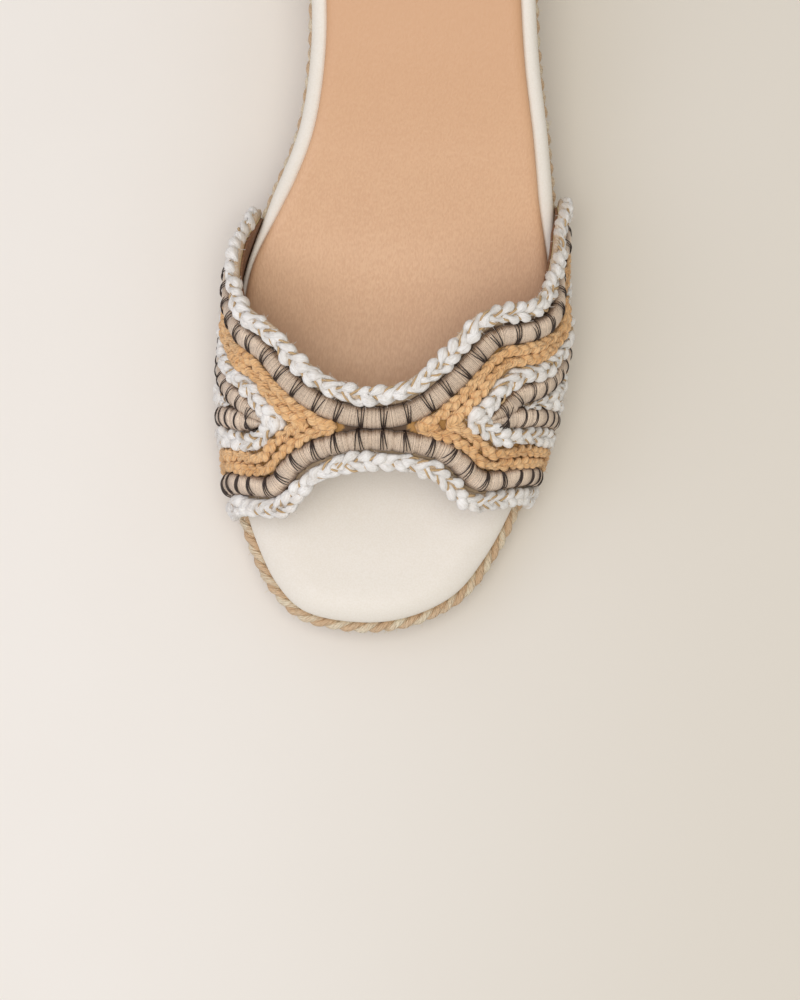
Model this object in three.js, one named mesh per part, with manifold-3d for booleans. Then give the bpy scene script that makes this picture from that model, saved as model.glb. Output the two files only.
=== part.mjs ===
// A left heeled sandal: a slide with one corded strap across the ball, on a rope-wrapped wedge.
// Millimetres, +Z up. The toe points along -Y and the big-toe side is -X.
// The origin is the middle of the shoe's own box, on the floor.
import * as THREE from "three";
import { mergeVertices } from "three/addons/utils/BufferGeometryUtils.js";
import Module from "manifold-3d";

const wasm = await Module();
wasm.setup();

// Footbed, measured in plan at its widest outline
const FOOTBED_LENGTH = 242;
const BALL_WIDTH = 90;
const FOOTBED_THICKNESS = 7;
const FOOTBED_EDGE_ROUND = 3;
const FOOTBED_UNDERCUT = 1;

// Insole sock, glued on the footbed behind the strap
const SOCK_THICKNESS = 1.4;
const SOCK_INSET = 4.2; // from the footbed's edge, where the cream rim shows in full
const SOCK_STRAP_INSET = 1.4; // under the strap, where the rim has narrowed away
const RIM_NARROWS_OVER = 30; // the length that this takes
const RIM_NARROWS_BEHIND = 6; // it starts this far behind the strap's wings
const SOCK_EDGE_ROUND = 0.9;
const SOCK_BEHIND_WAIST = 1.7; // its front edge is hidden under the strap's waist

// Wedge, rope and outsole
const OUTSOLE_THICKNESS = 3;
const OUTSOLE_INSET = 0.8; // from the rope's outside to the outsole's edge
const OUTSOLE_CHAMFER = 0.8;
const FOREFOOT_HEIGHT = 16; // from the floor to the footbed's underside at the ball
const HEEL_RISE = 40; // how much higher the heel seat is than the ball
const TOE_SPRING = 4;
const ARCH_HOLLOW = 1.6;
const ROPE_DIAMETER = 3.5;
const ROPE_GROOVE = 0.9; // depth of the groove between two rows of rope
const ROPE_FLAT = 0.4; // share of a row that stands out fully
const ROPE_LEDGE = 3.1; // how far the rope stands out past the footbed at the toe
const WEDGE_TAPER = 3.5; // how far the heel draws in from the footbed to the floor

// Strap: a lined base wall with cords and braids raised on it
const STRAP_WALL = 1.6;
const STRAP_HEIGHT = 46; // from the footbed's underside to the inside of the strap's waist
const STRAP_FROM_TOE = 56.4; // from the toe's tip to the middle of the waist
const STRAP_BACK_REACH = 55; // from the waist's back edge to the wing's end
const STRAP_FRONT_REACH = 14.6; // from the waist's front edge to the lobes' front
const STRAP_SKEW = 3; // how far the outer end sits behind the inner one, each side of the middle
const CORD_HEIGHT = 2.8;
const CORD_SPACE = 0.5; // groove left between two neighbouring strips
const CORD_SUNK = 0.7; // how deep a strip's foot lies in the wall
const CORD_SHOULDER = 0.9; // how far a strip narrows towards its top
const PLAIT_WIDTH = 5.4;
const SATIN_WIDTH = 5.4;
const TAN_WIDTH = 6.4; // two fine braids side by side

const GAP = 0.3; // between pieces that are glued or sewn together
const STRAP_GAP = 0.45; // from the strap's foot to the footbed's edge, with room for its facets

// How finely the shoe is faceted
const SIDE_STEPS = 32; // along each side of the sole
const TURN_WEIGHT = 45; // how strongly the sole's steps gather where its outline turns
const STRAP_STEPS = 40; // across the foot
const STRAP_ROWS = 12; // along the strap
const CORD_STEP = 5.5; // length of a strip's straight stretches
const CORD_TURN_WEIGHT = 5; // how strongly they gather in a bend
const ROUNDING_STEP = 1; // spacing at which a strip's bends are rounded
const ROUNDING_PASSES = 30;
const ROPE_SIDES = 8; // of the rope trim's round
const OUTLINE_FINENESS = 40; // points between two rows of the outline before they are spaced out
const GIRTH_STEPS = 60; // along half the arch, when its girth is measured
const EDGE_STEPS = 160; // along each edge of the strap, when the strips are laid in from it
const TINY = 0.5; // step for reading which way the foot's surface faces
const WELD = 1e-4; // points closer than this are one
const SMOOTHING = 0.05; // the most a joined surface moves when its slivers are merged

// The footbed's outline. along is a share of its length from the toe; medial and lateral are the
// reach to each side of the shoe's axis, as shares of the ball width.
const OUTLINE = [
  { along: 0.01, medial: 0.215, lateral: 0.125 },
  { along: 0.04, medial: 0.306, lateral: 0.268 },
  { along: 0.085, medial: 0.375, lateral: 0.357 },
  { along: 0.145, medial: 0.435, lateral: 0.433 },
  { along: 0.215, medial: 0.47, lateral: 0.495 },
  { along: 0.3, medial: 0.482, lateral: 0.523 },
  { along: 0.4, medial: 0.47, lateral: 0.527 },
  { along: 0.49, medial: 0.4, lateral: 0.511 },
  { along: 0.58, medial: 0.317, lateral: 0.475 },
  { along: 0.67, medial: 0.292, lateral: 0.428 },
  { along: 0.76, medial: 0.306, lateral: 0.396 },
  { along: 0.85, medial: 0.333, lateral: 0.369 },
  { along: 0.925, medial: 0.31, lateral: 0.322 },
  { along: 0.975, medial: 0.215, lateral: 0.22 },
];
const TOE_TIP_SIDE = -0.03; // where the tip lies beside the axis, as a share of the ball width
const HEEL_TIP_SIDE = 0.005;

// The wedge along the shoe. rise is a share of the heel rise, ledge of the rope ledge, taper of the
// heel's taper.
const WEDGE = [
  { along: 0, rise: 0.06, ledge: 1, taper: 0.15 },
  { along: 0.08, rise: 0.02, ledge: 1, taper: 0.1 },
  { along: 0.18, rise: 0, ledge: 0.85, taper: 0.1 },
  { along: 0.32, rise: 0.015, ledge: 0.75, taper: 0.15 },
  { along: 0.44, rise: 0.16, ledge: 0.55, taper: 0.3 },
  { along: 0.56, rise: 0.43, ledge: 0.35, taper: 0.55 },
  { along: 0.68, rise: 0.72, ledge: 0.32, taper: 0.8 },
  { along: 0.8, rise: 0.92, ledge: 0.4, taper: 0.95 },
  { along: 0.9, rise: 0.99, ledge: 0.5, taper: 1 },
  { along: 1, rise: 1, ledge: 0.5, taper: 1 },
];
const TOE_SPRING_END = 0.16; // shares of the length: the forefoot is flat from here
const ARCH_START = 0.44;
const ARCH_END = 0.72; // and the heel is flat from here

// The foot's form under the strap. height is a share of the strap's height; spread is how far the
// wall leans out past the footbed's edge, and crown how far the ridge lies beside the axis, both as
// shares of the ball width. fullness is the arch's exponent: 2 is an ellipse, more is squarer.
const FOOT = [
  { along: 0.06, height: 0.78, spreadMedial: 0, spreadLateral: 0, crown: 0.02, fullness: 2.3 },
  { along: 0.13, height: 0.84, spreadMedial: 0, spreadLateral: 0, crown: 0.016, fullness: 2.3 },
  { along: 0.19, height: 0.93, spreadMedial: 0.004, spreadLateral: 0.004, crown: 0.01, fullness: 2.4 },
  { along: 0.27, height: 1.06, spreadMedial: 0.006, spreadLateral: 0.016, crown: -0.03, fullness: 2.5 },
  { along: 0.36, height: 1.16, spreadMedial: 0.004, spreadLateral: 0.018, crown: -0.035, fullness: 2.9 },
  { along: 0.43, height: 1.22, spreadMedial: 0.01, spreadLateral: -0.02, crown: -0.04, fullness: 3.1 },
  { along: 0.54, height: 1.3, spreadMedial: 0.04, spreadLateral: -0.014, crown: -0.045, fullness: 3.1 },
];
const SPREAD_HEIGHT = 9; // the wall has leaned over fully at this height above the footbed's top

// The strap's two edges on each side of the shoe, as laid flat. around runs from 0 at the ridge to 1
// at the footbed; the rest are how far an edge has moved off the waist, as shares of its reach.
const EDGES = [
  { around: 0, backMedial: 0, backLateral: 0, frontMedial: 0, frontLateral: 0 },
  { around: 0.08, backMedial: 0.01, backLateral: 0.02, frontMedial: 0.02, frontLateral: 0.04 },
  { around: 0.15, backMedial: 0.04, backLateral: 0.1, frontMedial: 0.08, frontLateral: 0.07 },
  { around: 0.22, backMedial: 0.09, backLateral: 0.25, frontMedial: 0.19, frontLateral: 0.19 },
  { around: 0.29, backMedial: 0.165, backLateral: 0.4, frontMedial: 0.37, frontLateral: 0.47 },
  { around: 0.36, backMedial: 0.27, backLateral: 0.435, frontMedial: 0.72, frontLateral: 0.7 },
  { around: 0.43, backMedial: 0.335, backLateral: 0.447, frontMedial: 0.95, frontLateral: 0.78 },
  { around: 0.5, backMedial: 0.375, backLateral: 0.462, frontMedial: 0.96, frontLateral: 0.73 },
  { around: 0.58, backMedial: 0.43, backLateral: 0.495, frontMedial: 0.92, frontLateral: 0.67 },
  { around: 0.7, backMedial: 0.56, backLateral: 0.615, frontMedial: 0.9, frontLateral: 0.62 },
  { around: 0.85, backMedial: 0.775, backLateral: 0.81, frontMedial: 0.92, frontLateral: 0.65 },
  { around: 1, backMedial: 0.96, backLateral: 1, frontMedial: 0.95, frontLateral: 0.7 },
];

// The strips from each edge of the strap inwards. Those with a turn meet in a V beside the waist.
const STRIPS = [
  { name: "white_plait", width: PLAIT_WIDTH, turns: false },
  { name: "satin_cord", width: SATIN_WIDTH, turns: false },
  { name: "tan_braid", width: TAN_WIDTH, turns: true },
  { name: "white_plait", width: PLAIT_WIDTH, turns: true },
  { name: "satin_cord", width: SATIN_WIDTH, turns: true },
  { name: "white_plait", width: PLAIT_WIDTH, turns: true },
  { name: "white_plait", width: PLAIT_WIDTH, turns: true },
];
const STRIP_FAN_MEDIAL = 0.12; // how much wider the strips lie at the footbed than over the foot
const STRIP_FAN_LATERAL = -0.1; // the same on the little-toe side, where they draw together
const FAN_START = 0.4; // share of the way round where they begin to spread
const MITRE_LIMIT = 1.4; // the most a strip widens where it turns a corner
const FOLD_LIMIT = 0.985; // an inset point closer to its edge than this share has folded over

const COLOURS = {
  outsole: { color: 0xb59a72, roughness: 0.8 },
  rope_wedge: { color: 0xc9ae84, roughness: 0.95 },
  rope_trim: { color: 0xcdb389, roughness: 0.95 },
  footbed: { color: 0xe9e2d5, roughness: 0.5 },
  insole_sock: { color: 0xd9b28e, roughness: 0.45 },
  strap: { color: 0xd9cdbd, roughness: 0.8 },
};

const strapWaist = 2 * (PLAIT_WIDTH + SATIN_WIDTH); // its narrowest length, along the shoe
const sockFront = STRAP_FROM_TOE + SOCK_BEHIND_WAIST;
const rimNarrows = STRAP_FROM_TOE + strapWaist / 2 + STRAP_BACK_REACH + RIM_NARROWS_BEHIND;

const clamp01 = (value) => Math.min(1, Math.max(0, value));
const easeInOut = (value) => clamp01(value) ** 2 * (3 - 2 * clamp01(value));

// A column of a table as a smooth curve that never swings past its rows.
function readTable(table, column, along) {
  const last = table.length - 1;
  const x = Math.min(table[last].along, Math.max(table[0].along, along));
  let i = 0;
  while (i < last - 1 && x > table[i + 1].along) i += 1;
  const slope = (k) =>
    (table[k + 1][column] - table[k][column]) / (table[k + 1].along - table[k].along);
  const tangent = (k) => {
    if (k === 0 || k === last) return 0;
    const before = slope(k - 1);
    const after = slope(k);
    return before * after <= 0 ? 0 : (2 * before * after) / (before + after);
  };
  const step = table[i + 1].along - table[i].along;
  const t = (x - table[i].along) / step;
  return (
    table[i][column] * (1 + 2 * t) * (1 - t) ** 2 +
    table[i + 1][column] * t * t * (3 - 2 * t) +
    step * t * (1 - t) * (tangent(i) * (1 - t) - tangent(i + 1) * t)
  );
}

// Points along a line of points, evenly spaced by length, and closer together where the line turns.
// turnWeight is the length that one radian of turning counts as.
function resample(points, count, turnWeight = 0) {
  const lengths = [0];
  for (let i = 1; i < points.length; i += 1) {
    const here = points[i].clone().sub(points[i - 1]);
    const next = i + 1 < points.length ? points[i + 1].clone().sub(points[i]) : here;
    lengths.push(lengths[i - 1] + here.length() + turnWeight * here.angleTo(next));
  }
  const total = lengths[lengths.length - 1];
  const made = [];
  let k = 0;
  for (let i = 0; i <= count; i += 1) {
    const wanted = (total * i) / count;
    while (k < lengths.length - 2 && lengths[k + 1] < wanted) k += 1;
    const share = (wanted - lengths[k]) / (lengths[k + 1] - lengths[k]);
    made.push(points[k].clone().lerp(points[k + 1], share));
  }
  return made;
}

const shareOf = (y) => y / FOOTBED_LENGTH;
const undersideAt = (y) => FOREFOOT_HEIGHT + HEEL_RISE * readTable(WEDGE, "rise", shareOf(y));

// The outline as a closed ring: the toe's tip, the medial side, the heel's tip, the lateral side.
// Its points are spaced along the footbed's underside, rise and all, and then laid flat.
function soleRing() {
  const point = (side, share) => new THREE.Vector3(side * BALL_WIDTH, share * FOOTBED_LENGTH, 0);
  const knots = [
    point(TOE_TIP_SIDE, 0),
    ...OUTLINE.map((row) => point(-row.medial, row.along)),
    point(HEEL_TIP_SIDE, 1),
    ...OUTLINE.toReversed().map((row) => point(row.lateral, row.along)),
  ];
  const curve = new THREE.CatmullRomCurve3(knots, true, "centripetal");
  const points = curve.getPoints(knots.length * OUTLINE_FINENESS);
  points.forEach((each) => each.setZ(undersideAt(each.y)));
  const heelTip = (OUTLINE.length + 1) * OUTLINE_FINENESS;
  const medial = resample(points.slice(0, heelTip + 1), SIDE_STEPS, TURN_WEIGHT);
  const lateral = resample(points.slice(heelTip), SIDE_STEPS, TURN_WEIGHT);
  return [...medial.slice(0, -1), ...lateral.slice(0, -1)].map((each) => each.setZ(0));
}

const RING = soleRing();
const OUTWARD = RING.map((_, i) => {
  const before = RING[(i + RING.length - 1) % RING.length];
  const after = RING[(i + 1) % RING.length];
  return new THREE.Vector3(-(after.y - before.y), after.x - before.x, 0).normalize();
});

const ledgeAt = (y) => ROPE_LEDGE * readTable(WEDGE, "ledge", shareOf(y));
const taperAt = (y) => WEDGE_TAPER * readTable(WEDGE, "taper", shareOf(y));

function floorAt(y) {
  const toe = TOE_SPRING * clamp01(1 - shareOf(y) / TOE_SPRING_END) ** 2;
  const arch = clamp01((shareOf(y) - ARCH_START) / (ARCH_END - ARCH_START));
  return toe + ARCH_HOLLOW * Math.sin(Math.PI * arch) ** 2;
}

// How far the rope's outside stands out of the footbed's outline, at a height over the floor.
function ropeReach(y, z) {
  const down = clamp01(1 - z / undersideAt(y));
  return ledgeAt(y) - taperAt(y) * down;
}

// One level of a piece of the sole. offset and height are functions of the place along the shoe.
function level(offset, height) {
  return RING.map((point, i) => {
    const moved = point.clone().addScaledVector(OUTWARD[i], offset(point.y));
    return moved.setZ(height(moved.y));
  });
}

// The faces between two rings of points, from each ring's first number. From the second ring, the
// first one's points run to the left as seen from outside.
function band(first, second, size) {
  const faces = [];
  for (let i = 0; i < size; i += 1) {
    const j = (i + 1) % size;
    faces.push([first + i, first + j, second + j], [first + i, second + j, second + i]);
  }
  return faces;
}

// A solid from levels, lowest first. Each end is closed by bars across the shoe.
function stack(levels) {
  const size = levels[0].length;
  const half = size / 2;
  const lid = (start, up) => {
    const bars = [[0, 1, size - 1]];
    for (let k = 1; k < half - 1; k += 1)
      bars.push([k, k + 1, size - k - 1], [k, size - k - 1, size - k]);
    bars.push([half - 1, half, half + 1]);
    return bars.map(([a, b, c]) => (up ? [a, c, b] : [a, b, c]).map((each) => each + start));
  };
  const sides = levels.slice(1).flatMap((_, r) => band((r + 1) * size, r * size, size));
  const top = (levels.length - 1) * size;
  return solidFrom(levels.flat(), [...sides, ...lid(0, false), ...lid(top, true)]);
}

// A solid from rings of points set one behind another. Its two ends are closed flat.
function skin(rings) {
  const size = rings[0].length;
  const faces = rings.slice(1).flatMap((_, r) => band(r * size, (r + 1) * size, size));
  const end = (rings.length - 1) * size;
  for (let i = 1; i < size - 1; i += 1) faces.push([0, i + 1, i], [end, end + i, end + i + 1]);
  return solidFrom(rings.flat(), faces);
}

function solidFrom(points, faces) {
  const geometry = new THREE.BufferGeometry().setFromPoints(points);
  geometry.setIndex(faces.flat());
  return solidOf(geometry);
}

function solidOf(geometry) {
  const bare = geometry.clone();
  bare.deleteAttribute("normal");
  bare.deleteAttribute("uv");
  const merged = mergeVertices(bare, WELD);
  const mesh = new wasm.Mesh({
    numProp: 3,
    vertProperties: merged.getAttribute("position").array,
    triVerts: new Uint32Array(merged.index.array),
  });
  return new wasm.Manifold(mesh);
}

function geometryOf(solid) {
  const mesh = solid.getMesh();
  const geometry = new THREE.BufferGeometry();
  geometry.setAttribute("position", new THREE.BufferAttribute(mesh.vertProperties, 3));
  geometry.setIndex(new THREE.BufferAttribute(mesh.triVerts, 1));
  geometry.computeVertexNormals();
  return geometry;
}

// Everything of a solid below a surface that slopes with the shoe.
function below(solid, height) {
  const wide = () => 3 * ROPE_LEDGE; // well past any rope
  const deep = () => -FOREFOOT_HEIGHT;
  return solid.intersect(stack([level(wide, deep), level(wide, height)]));
}

// Sole pieces
function outsole() {
  const rim = (y) => ropeReach(y, floorAt(y)) - OUTSOLE_INSET;
  return stack([
    level((y) => rim(y) - OUTSOLE_CHAMFER, floorAt),
    level(rim, (y) => floorAt(y) + OUTSOLE_CHAMFER),
    level(rim, (y) => floorAt(y) + OUTSOLE_THICKNESS),
  ]);
}

const wedgeFoot = (y) => floorAt(y) + OUTSOLE_THICKNESS + GAP;
const trimBottom = (y) => undersideAt(y) - GAP - ROPE_DIAMETER;

function ropeWedge() {
  const tallest = undersideAt(FOOTBED_LENGTH) - wedgeFoot(FOOTBED_LENGTH);
  const rows = Math.ceil(tallest / ROPE_DIAMETER);
  const lowest = (1 - ROPE_FLAT) / 2;
  const levels = [];
  for (let row = 0; row < rows; row += 1) {
    const at = (share) => (y) => wedgeFoot(y) + (row + share) * ROPE_DIAMETER;
    const reach = (share, depth) => (y) => ropeReach(y, at(share)(y)) - depth;
    levels.push(level(reach(0, ROPE_GROOVE), at(0)));
    levels.push(level(reach(lowest, 0), at(lowest)));
    levels.push(level(reach(1 - lowest, 0), at(1 - lowest)));
  }
  const top = (y) => wedgeFoot(y) + rows * ROPE_DIAMETER;
  levels.push(level((y) => ropeReach(y, top(y)) - ROPE_GROOVE, top));
  const ribs = below(stack(levels), (y) => trimBottom(y) - GAP);
  const core = (y) => ledgeAt(y) - ROPE_DIAMETER - GAP;
  const post = stack([
    level((y) => core(y) - taperAt(y), (y) => wedgeFoot(y) + ROPE_DIAMETER / 2),
    level(core, (y) => undersideAt(y) - GAP),
  ]);
  return ribs.add(post).asOriginal().simplify(SMOOTHING);
}

// The top row of rope follows the footbed all the way round.
function ropeTrim() {
  const radius = ROPE_DIAMETER / 2;
  const rings = RING.map((point, i) => {
    const centre = point.clone().addScaledVector(OUTWARD[i], ledgeAt(point.y) - radius);
    centre.setZ(trimBottom(centre.y) + radius);
    return Array.from({ length: ROPE_SIDES }, (_, k) => {
      const turn = ((k + 0.5) / ROPE_SIDES) * 2 * Math.PI;
      const corner = centre.clone().addScaledVector(OUTWARD[i], radius * Math.cos(turn));
      return corner.setZ(centre.z + radius * Math.sin(turn));
    });
  });
  const next = (r) => ((r + 1) % rings.length) * ROPE_SIDES;
  return solidFrom(rings.flat(), rings.flatMap((_, r) => band(r * ROPE_SIDES, next(r), ROPE_SIDES)));
}

const footbedTop = (y) => undersideAt(y) + FOOTBED_THICKNESS;

// The cream rim beside the sock narrows as it runs in under the strap's wings.
function sockInset(y) {
  const open = easeInOut(1 - (rimNarrows - y) / RIM_NARROWS_OVER);
  return SOCK_STRAP_INSET + (SOCK_INSET - SOCK_STRAP_INSET) * open;
}

// The footbed's edge is sharper where the rim is narrow, and full again ahead of the sock.
function edgeRound(y) {
  const ahead = easeInOut((sockFront + RIM_NARROWS_OVER / 2 - y) / RIM_NARROWS_OVER);
  return FOOTBED_EDGE_ROUND * Math.max(sockInset(y) / SOCK_INSET, ahead);
}

function footbed() {
  const shoulder = (y) => edgeRound(y) * (1 - Math.SQRT1_2);
  return stack([
    level(() => -FOOTBED_UNDERCUT, undersideAt),
    level(() => 0, (y) => undersideAt(y) + FOOTBED_UNDERCUT),
    level(() => 0, (y) => footbedTop(y) - edgeRound(y)),
    level((y) => -shoulder(y), (y) => footbedTop(y) - shoulder(y)),
    level((y) => -edgeRound(y), footbedTop),
  ]);
}

function insoleSock() {
  const rise = (share) => (y) => footbedTop(y) + GAP + share * SOCK_THICKNESS;
  const whole = stack([
    level((y) => -sockInset(y), rise(0)),
    level((y) => -sockInset(y), rise(0.5)),
    level((y) => -sockInset(y) - SOCK_EDGE_ROUND, rise(1)),
  ]);
  const ahead = new THREE.BoxGeometry(2 * BALL_WIDTH, 2 * FOOTBED_LENGTH, 2 * FOOTBED_LENGTH);
  ahead.translate(0, sockFront - FOOTBED_LENGTH, 0);
  return whole.subtract(solidOf(ahead));
}

// Where the strap's foot stands beside the footbed, on the footbed's own ring moved out by its gap.
const STRAP_RING = RING.map((point, i) => point.clone().addScaledVector(OUTWARD[i], STRAP_GAP));
const STRAP_SIDES = {
  medial: STRAP_RING.slice(0, SIDE_STEPS + 1),
  lateral: [STRAP_RING[0], ...STRAP_RING.slice(SIDE_STEPS).toReversed()],
};

function strapFoot(y, side) {
  const points = side < 0 ? STRAP_SIDES.medial : STRAP_SIDES.lateral;
  const k = Math.max(1, points.findIndex((point) => point.y >= y));
  const share = (y - points[k - 1].y) / (points[k].y - points[k - 1].y);
  return points[k - 1].x + share * (points[k].x - points[k - 1].x);
}

// The arch of the foot at one place along the shoe, as a point at an angle round it.
function archPoint(angle, y) {
  const side = Math.cos(angle) < 0 ? -1 : 1;
  const bend = 2 / readTable(FOOT, "fullness", shareOf(y));
  const across = Math.abs(Math.cos(angle)) ** bend;
  const up = Math.sin(angle) ** bend;
  const foot = strapFoot(y, side);
  const crown = readTable(FOOT, "crown", shareOf(y)) * BALL_WIDTH;
  const height = STRAP_HEIGHT * readTable(FOOT, "height", shareOf(y)) * up;
  const column = side < 0 ? "spreadMedial" : "spreadLateral";
  const spread = readTable(FOOT, column, shareOf(y)) * BALL_WIDTH * easeInOut((height - FOOTBED_THICKNESS) / SPREAD_HEIGHT);
  const edge = foot + side * spread;
  return new THREE.Vector3(crown + (edge - crown) * across, y, undersideAt(y) + height);
}

// Angles at equal girth from the ridge to the footbed, on the arch under the waist.
const girth = [0];
for (let i = 1; i <= GIRTH_STEPS; i += 1) {
  const angle = (k) => (Math.PI / 2) * (1 - k / GIRTH_STEPS);
  const here = archPoint(angle(i), STRAP_FROM_TOE);
  girth.push(girth[i - 1] + here.distanceTo(archPoint(angle(i - 1), STRAP_FROM_TOE)));
}
const HALF_GIRTH = girth[GIRTH_STEPS];

function archAngle(around) {
  const wanted = Math.min(1, Math.abs(around)) * HALF_GIRTH;
  let k = 1;
  while (k < GIRTH_STEPS && girth[k] < wanted) k += 1;
  const share = (wanted - girth[k - 1]) / (girth[k] - girth[k - 1]);
  const turn = ((k - 1 + share) / GIRTH_STEPS) * (Math.PI / 2);
  return Math.PI / 2 - Math.sign(around) * turn;
}

// A point of the flat strap laid over the foot: x is the girth from the ridge, y the place along.
function overFoot(flat, lift) {
  const at = (x, y) => archPoint(archAngle(x / HALF_GIRTH), y);
  const limit = (x) => Math.min(HALF_GIRTH, Math.max(-HALF_GIRTH, x));
  const acrossFoot = at(limit(flat.x + TINY), flat.y).sub(at(limit(flat.x - TINY), flat.y));
  const alongFoot = at(flat.x, flat.y + TINY).sub(at(flat.x, flat.y - TINY));
  const outward = acrossFoot.cross(alongFoot).normalize();
  return at(flat.x, flat.y).addScaledVector(outward, lift);
}

const edgeRows = EDGES.map((row) => ({ ...row, along: row.around }));

// One edge of the flat strap at a share of the girth, which is negative on the medial side.
function edgePoint(around, edge) {
  const share = readTable(edgeRows, edge + (around < 0 ? "Medial" : "Lateral"), Math.abs(around));
  const off =
    edge === "back"
      ? strapWaist / 2 + STRAP_BACK_REACH * share
      : -strapWaist / 2 - STRAP_FRONT_REACH * share;
  return new THREE.Vector2(around * HALF_GIRTH, STRAP_FROM_TOE + STRAP_SKEW * around + off);
}

function strapWall() {
  const corner = (i, j, lift) => {
    const around = -1 + (2 * i) / STRAP_STEPS;
    const front = edgePoint(around, "front");
    const back = edgePoint(around, "back");
    return overFoot(front.lerp(back, j / STRAP_ROWS), lift);
  };
  const rowsOf = (i, lift) => Array.from({ length: STRAP_ROWS + 1 }, (_, j) => corner(i, j, lift));
  const strips = Array.from({ length: STRAP_STEPS + 1 }, (_, i) => ({
    inside: rowsOf(i, 0),
    outside: rowsOf(i, STRAP_WALL),
  }));
  return wallFrom(strips);
}

// A wall between two sheets of points, closed round its four edges.
function wallFrom(rows) {
  const wide = rows[0].inside.length;
  const end = rows.length - 1;
  const inner = (i, j) => i * wide + j;
  const outer = (i, j) => (rows.length + i) * wide + j;
  const faces = [];
  const quad = (a, b, c, d) => faces.push([a, b, c], [a, c, d]);
  for (let i = 0; i < end; i += 1) {
    for (let j = 0; j < wide - 1; j += 1) {
      quad(outer(i, j), outer(i + 1, j), outer(i + 1, j + 1), outer(i, j + 1));
      quad(inner(i, j), inner(i, j + 1), inner(i + 1, j + 1), inner(i + 1, j));
    }
    quad(outer(i, wide - 1), outer(i + 1, wide - 1), inner(i + 1, wide - 1), inner(i, wide - 1));
    quad(inner(i, 0), inner(i + 1, 0), outer(i + 1, 0), outer(i, 0));
  }
  for (let j = 0; j < wide - 1; j += 1) {
    quad(outer(end, j), inner(end, j), inner(end, j + 1), outer(end, j + 1));
    quad(outer(0, j + 1), inner(0, j + 1), inner(0, j), outer(0, j));
  }
  return solidFrom(
    [...rows.flatMap((row) => row.inside), ...rows.flatMap((row) => row.outside)],
    faces,
  );
}

// How much wider the strips lie at a place round the foot.
const fanAt = (around) => {
  const most = around < 0 ? STRIP_FAN_MEDIAL : STRIP_FAN_LATERAL;
  return 1 + most * easeInOut((Math.abs(around) - FAN_START) / (1 - FAN_START));
};

const edgeLineOf = (edge) =>
  Array.from({ length: EDGE_STEPS + 1 }, (_, i) => edgePoint(-1 + (2 * i) / EDGE_STEPS, edge));
const EDGE_LINES = { back: edgeLineOf("back"), front: edgeLineOf("front") };

// A line on the flat strap at a distance in from one edge. Points that a tight bend would fold over
// lie closer to the edge than that, and are left out.
function insetLine(edge, side, distance) {
  const inwards = edge === "back" ? -1 : 1;
  const edgeLine = EDGE_LINES[edge];
  const line = [];
  edgeLine.forEach((here, i) => {
    const around = -1 + (2 * i) / EDGE_STEPS;
    const ahead = edgeLine[Math.min(EDGE_STEPS, i + 1)];
    const behind = edgeLine[Math.max(0, i - 1)];
    const run = ahead.clone().sub(behind).normalize();
    const inset = distance * fanAt(around);
    const moved = new THREE.Vector2(here.x - run.y * inset * inwards, here.y + run.x * inset * inwards);
    const nearest = Math.min(...edgeLine.map((point) => point.distanceTo(moved)));
    if (nearest > inset * FOLD_LIMIT && moved.x * side >= 0) line.push(moved);
  });
  const outwards = side > 0 ? line : line.toReversed();
  return clipToFoot(outwards, side);
}

// The part of a line over the foot, ended exactly at the footbed.
function clipToFoot(line, side) {
  const inside = line.filter((point) => Math.abs(point.x) <= HALF_GIRTH);
  const last = inside[inside.length - 1];
  const before = inside[inside.length - 2];
  const run = last.clone().sub(before);
  const share = (side * HALF_GIRTH - last.x) / run.x;
  return [...inside, last.clone().addScaledVector(run, share)];
}

// Where two lines of the flat strap cross, as the two stretches' numbers and the point.
function crossing(first, second) {
  for (let i = 1; i < first.length; i += 1)
    for (let j = 1; j < second.length; j += 1) {
      const p = first[i - 1];
      const r = first[i].clone().sub(p);
      const q = second[j - 1];
      const s = second[j].clone().sub(q);
      const area = r.cross(s);
      const t = q.clone().sub(p).cross(s) / area;
      const u = q.clone().sub(p).cross(r) / area;
      if (t >= 0 && t <= 1 && u >= 0 && u <= 1) return { i, j, point: p.clone().addScaledVector(r, t) };
    }
  return null;
}

// The middle line of each strip of cord, on the flat strap, as the arms between its corners.
function stripLines() {
  const strips = [];
  let inner = 0;
  STRIPS.forEach((strip) => {
    const distance = inner + strip.width / 2;
    inner += strip.width;
    if (!strip.turns) {
      ["back", "front"].forEach((edge) => {
        const medial = insetLine(edge, -1, distance).toReversed();
        const lateral = insetLine(edge, 1, distance);
        strips.push({ strip, arms: [[...medial, ...lateral.slice(1)]] });
      });
      return;
    }
    [-1, 1].forEach((side) => {
      const back = insetLine("back", side, distance);
      const front = insetLine("front", side, distance);
      const meet = crossing(back, front);
      if (!meet) return;
      strips.push({
        strip,
        arms: [
          [...back.slice(meet.i).toReversed(), meet.point],
          [meet.point, ...front.slice(meet.j)],
        ],
      });
    });
  });
  return strips;
}

// A line of points with its bends rounded, as a cord lies in them. Its two ends stay.
function rounded(points) {
  const length = points.slice(1).reduce((sum, point, i) => sum + point.distanceTo(points[i]), 0);
  let line = resample(points, Math.ceil(length / ROUNDING_STEP));
  for (let pass = 0; pass < ROUNDING_PASSES; pass += 1)
    line = line.map((point, i) => {
      if (i === 0 || i === line.length - 1) return point;
      const between = line[i - 1].clone().lerp(line[i + 1], 0.5);
      return between.lerp(point, 0.5);
    });
  return line;
}

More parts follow.
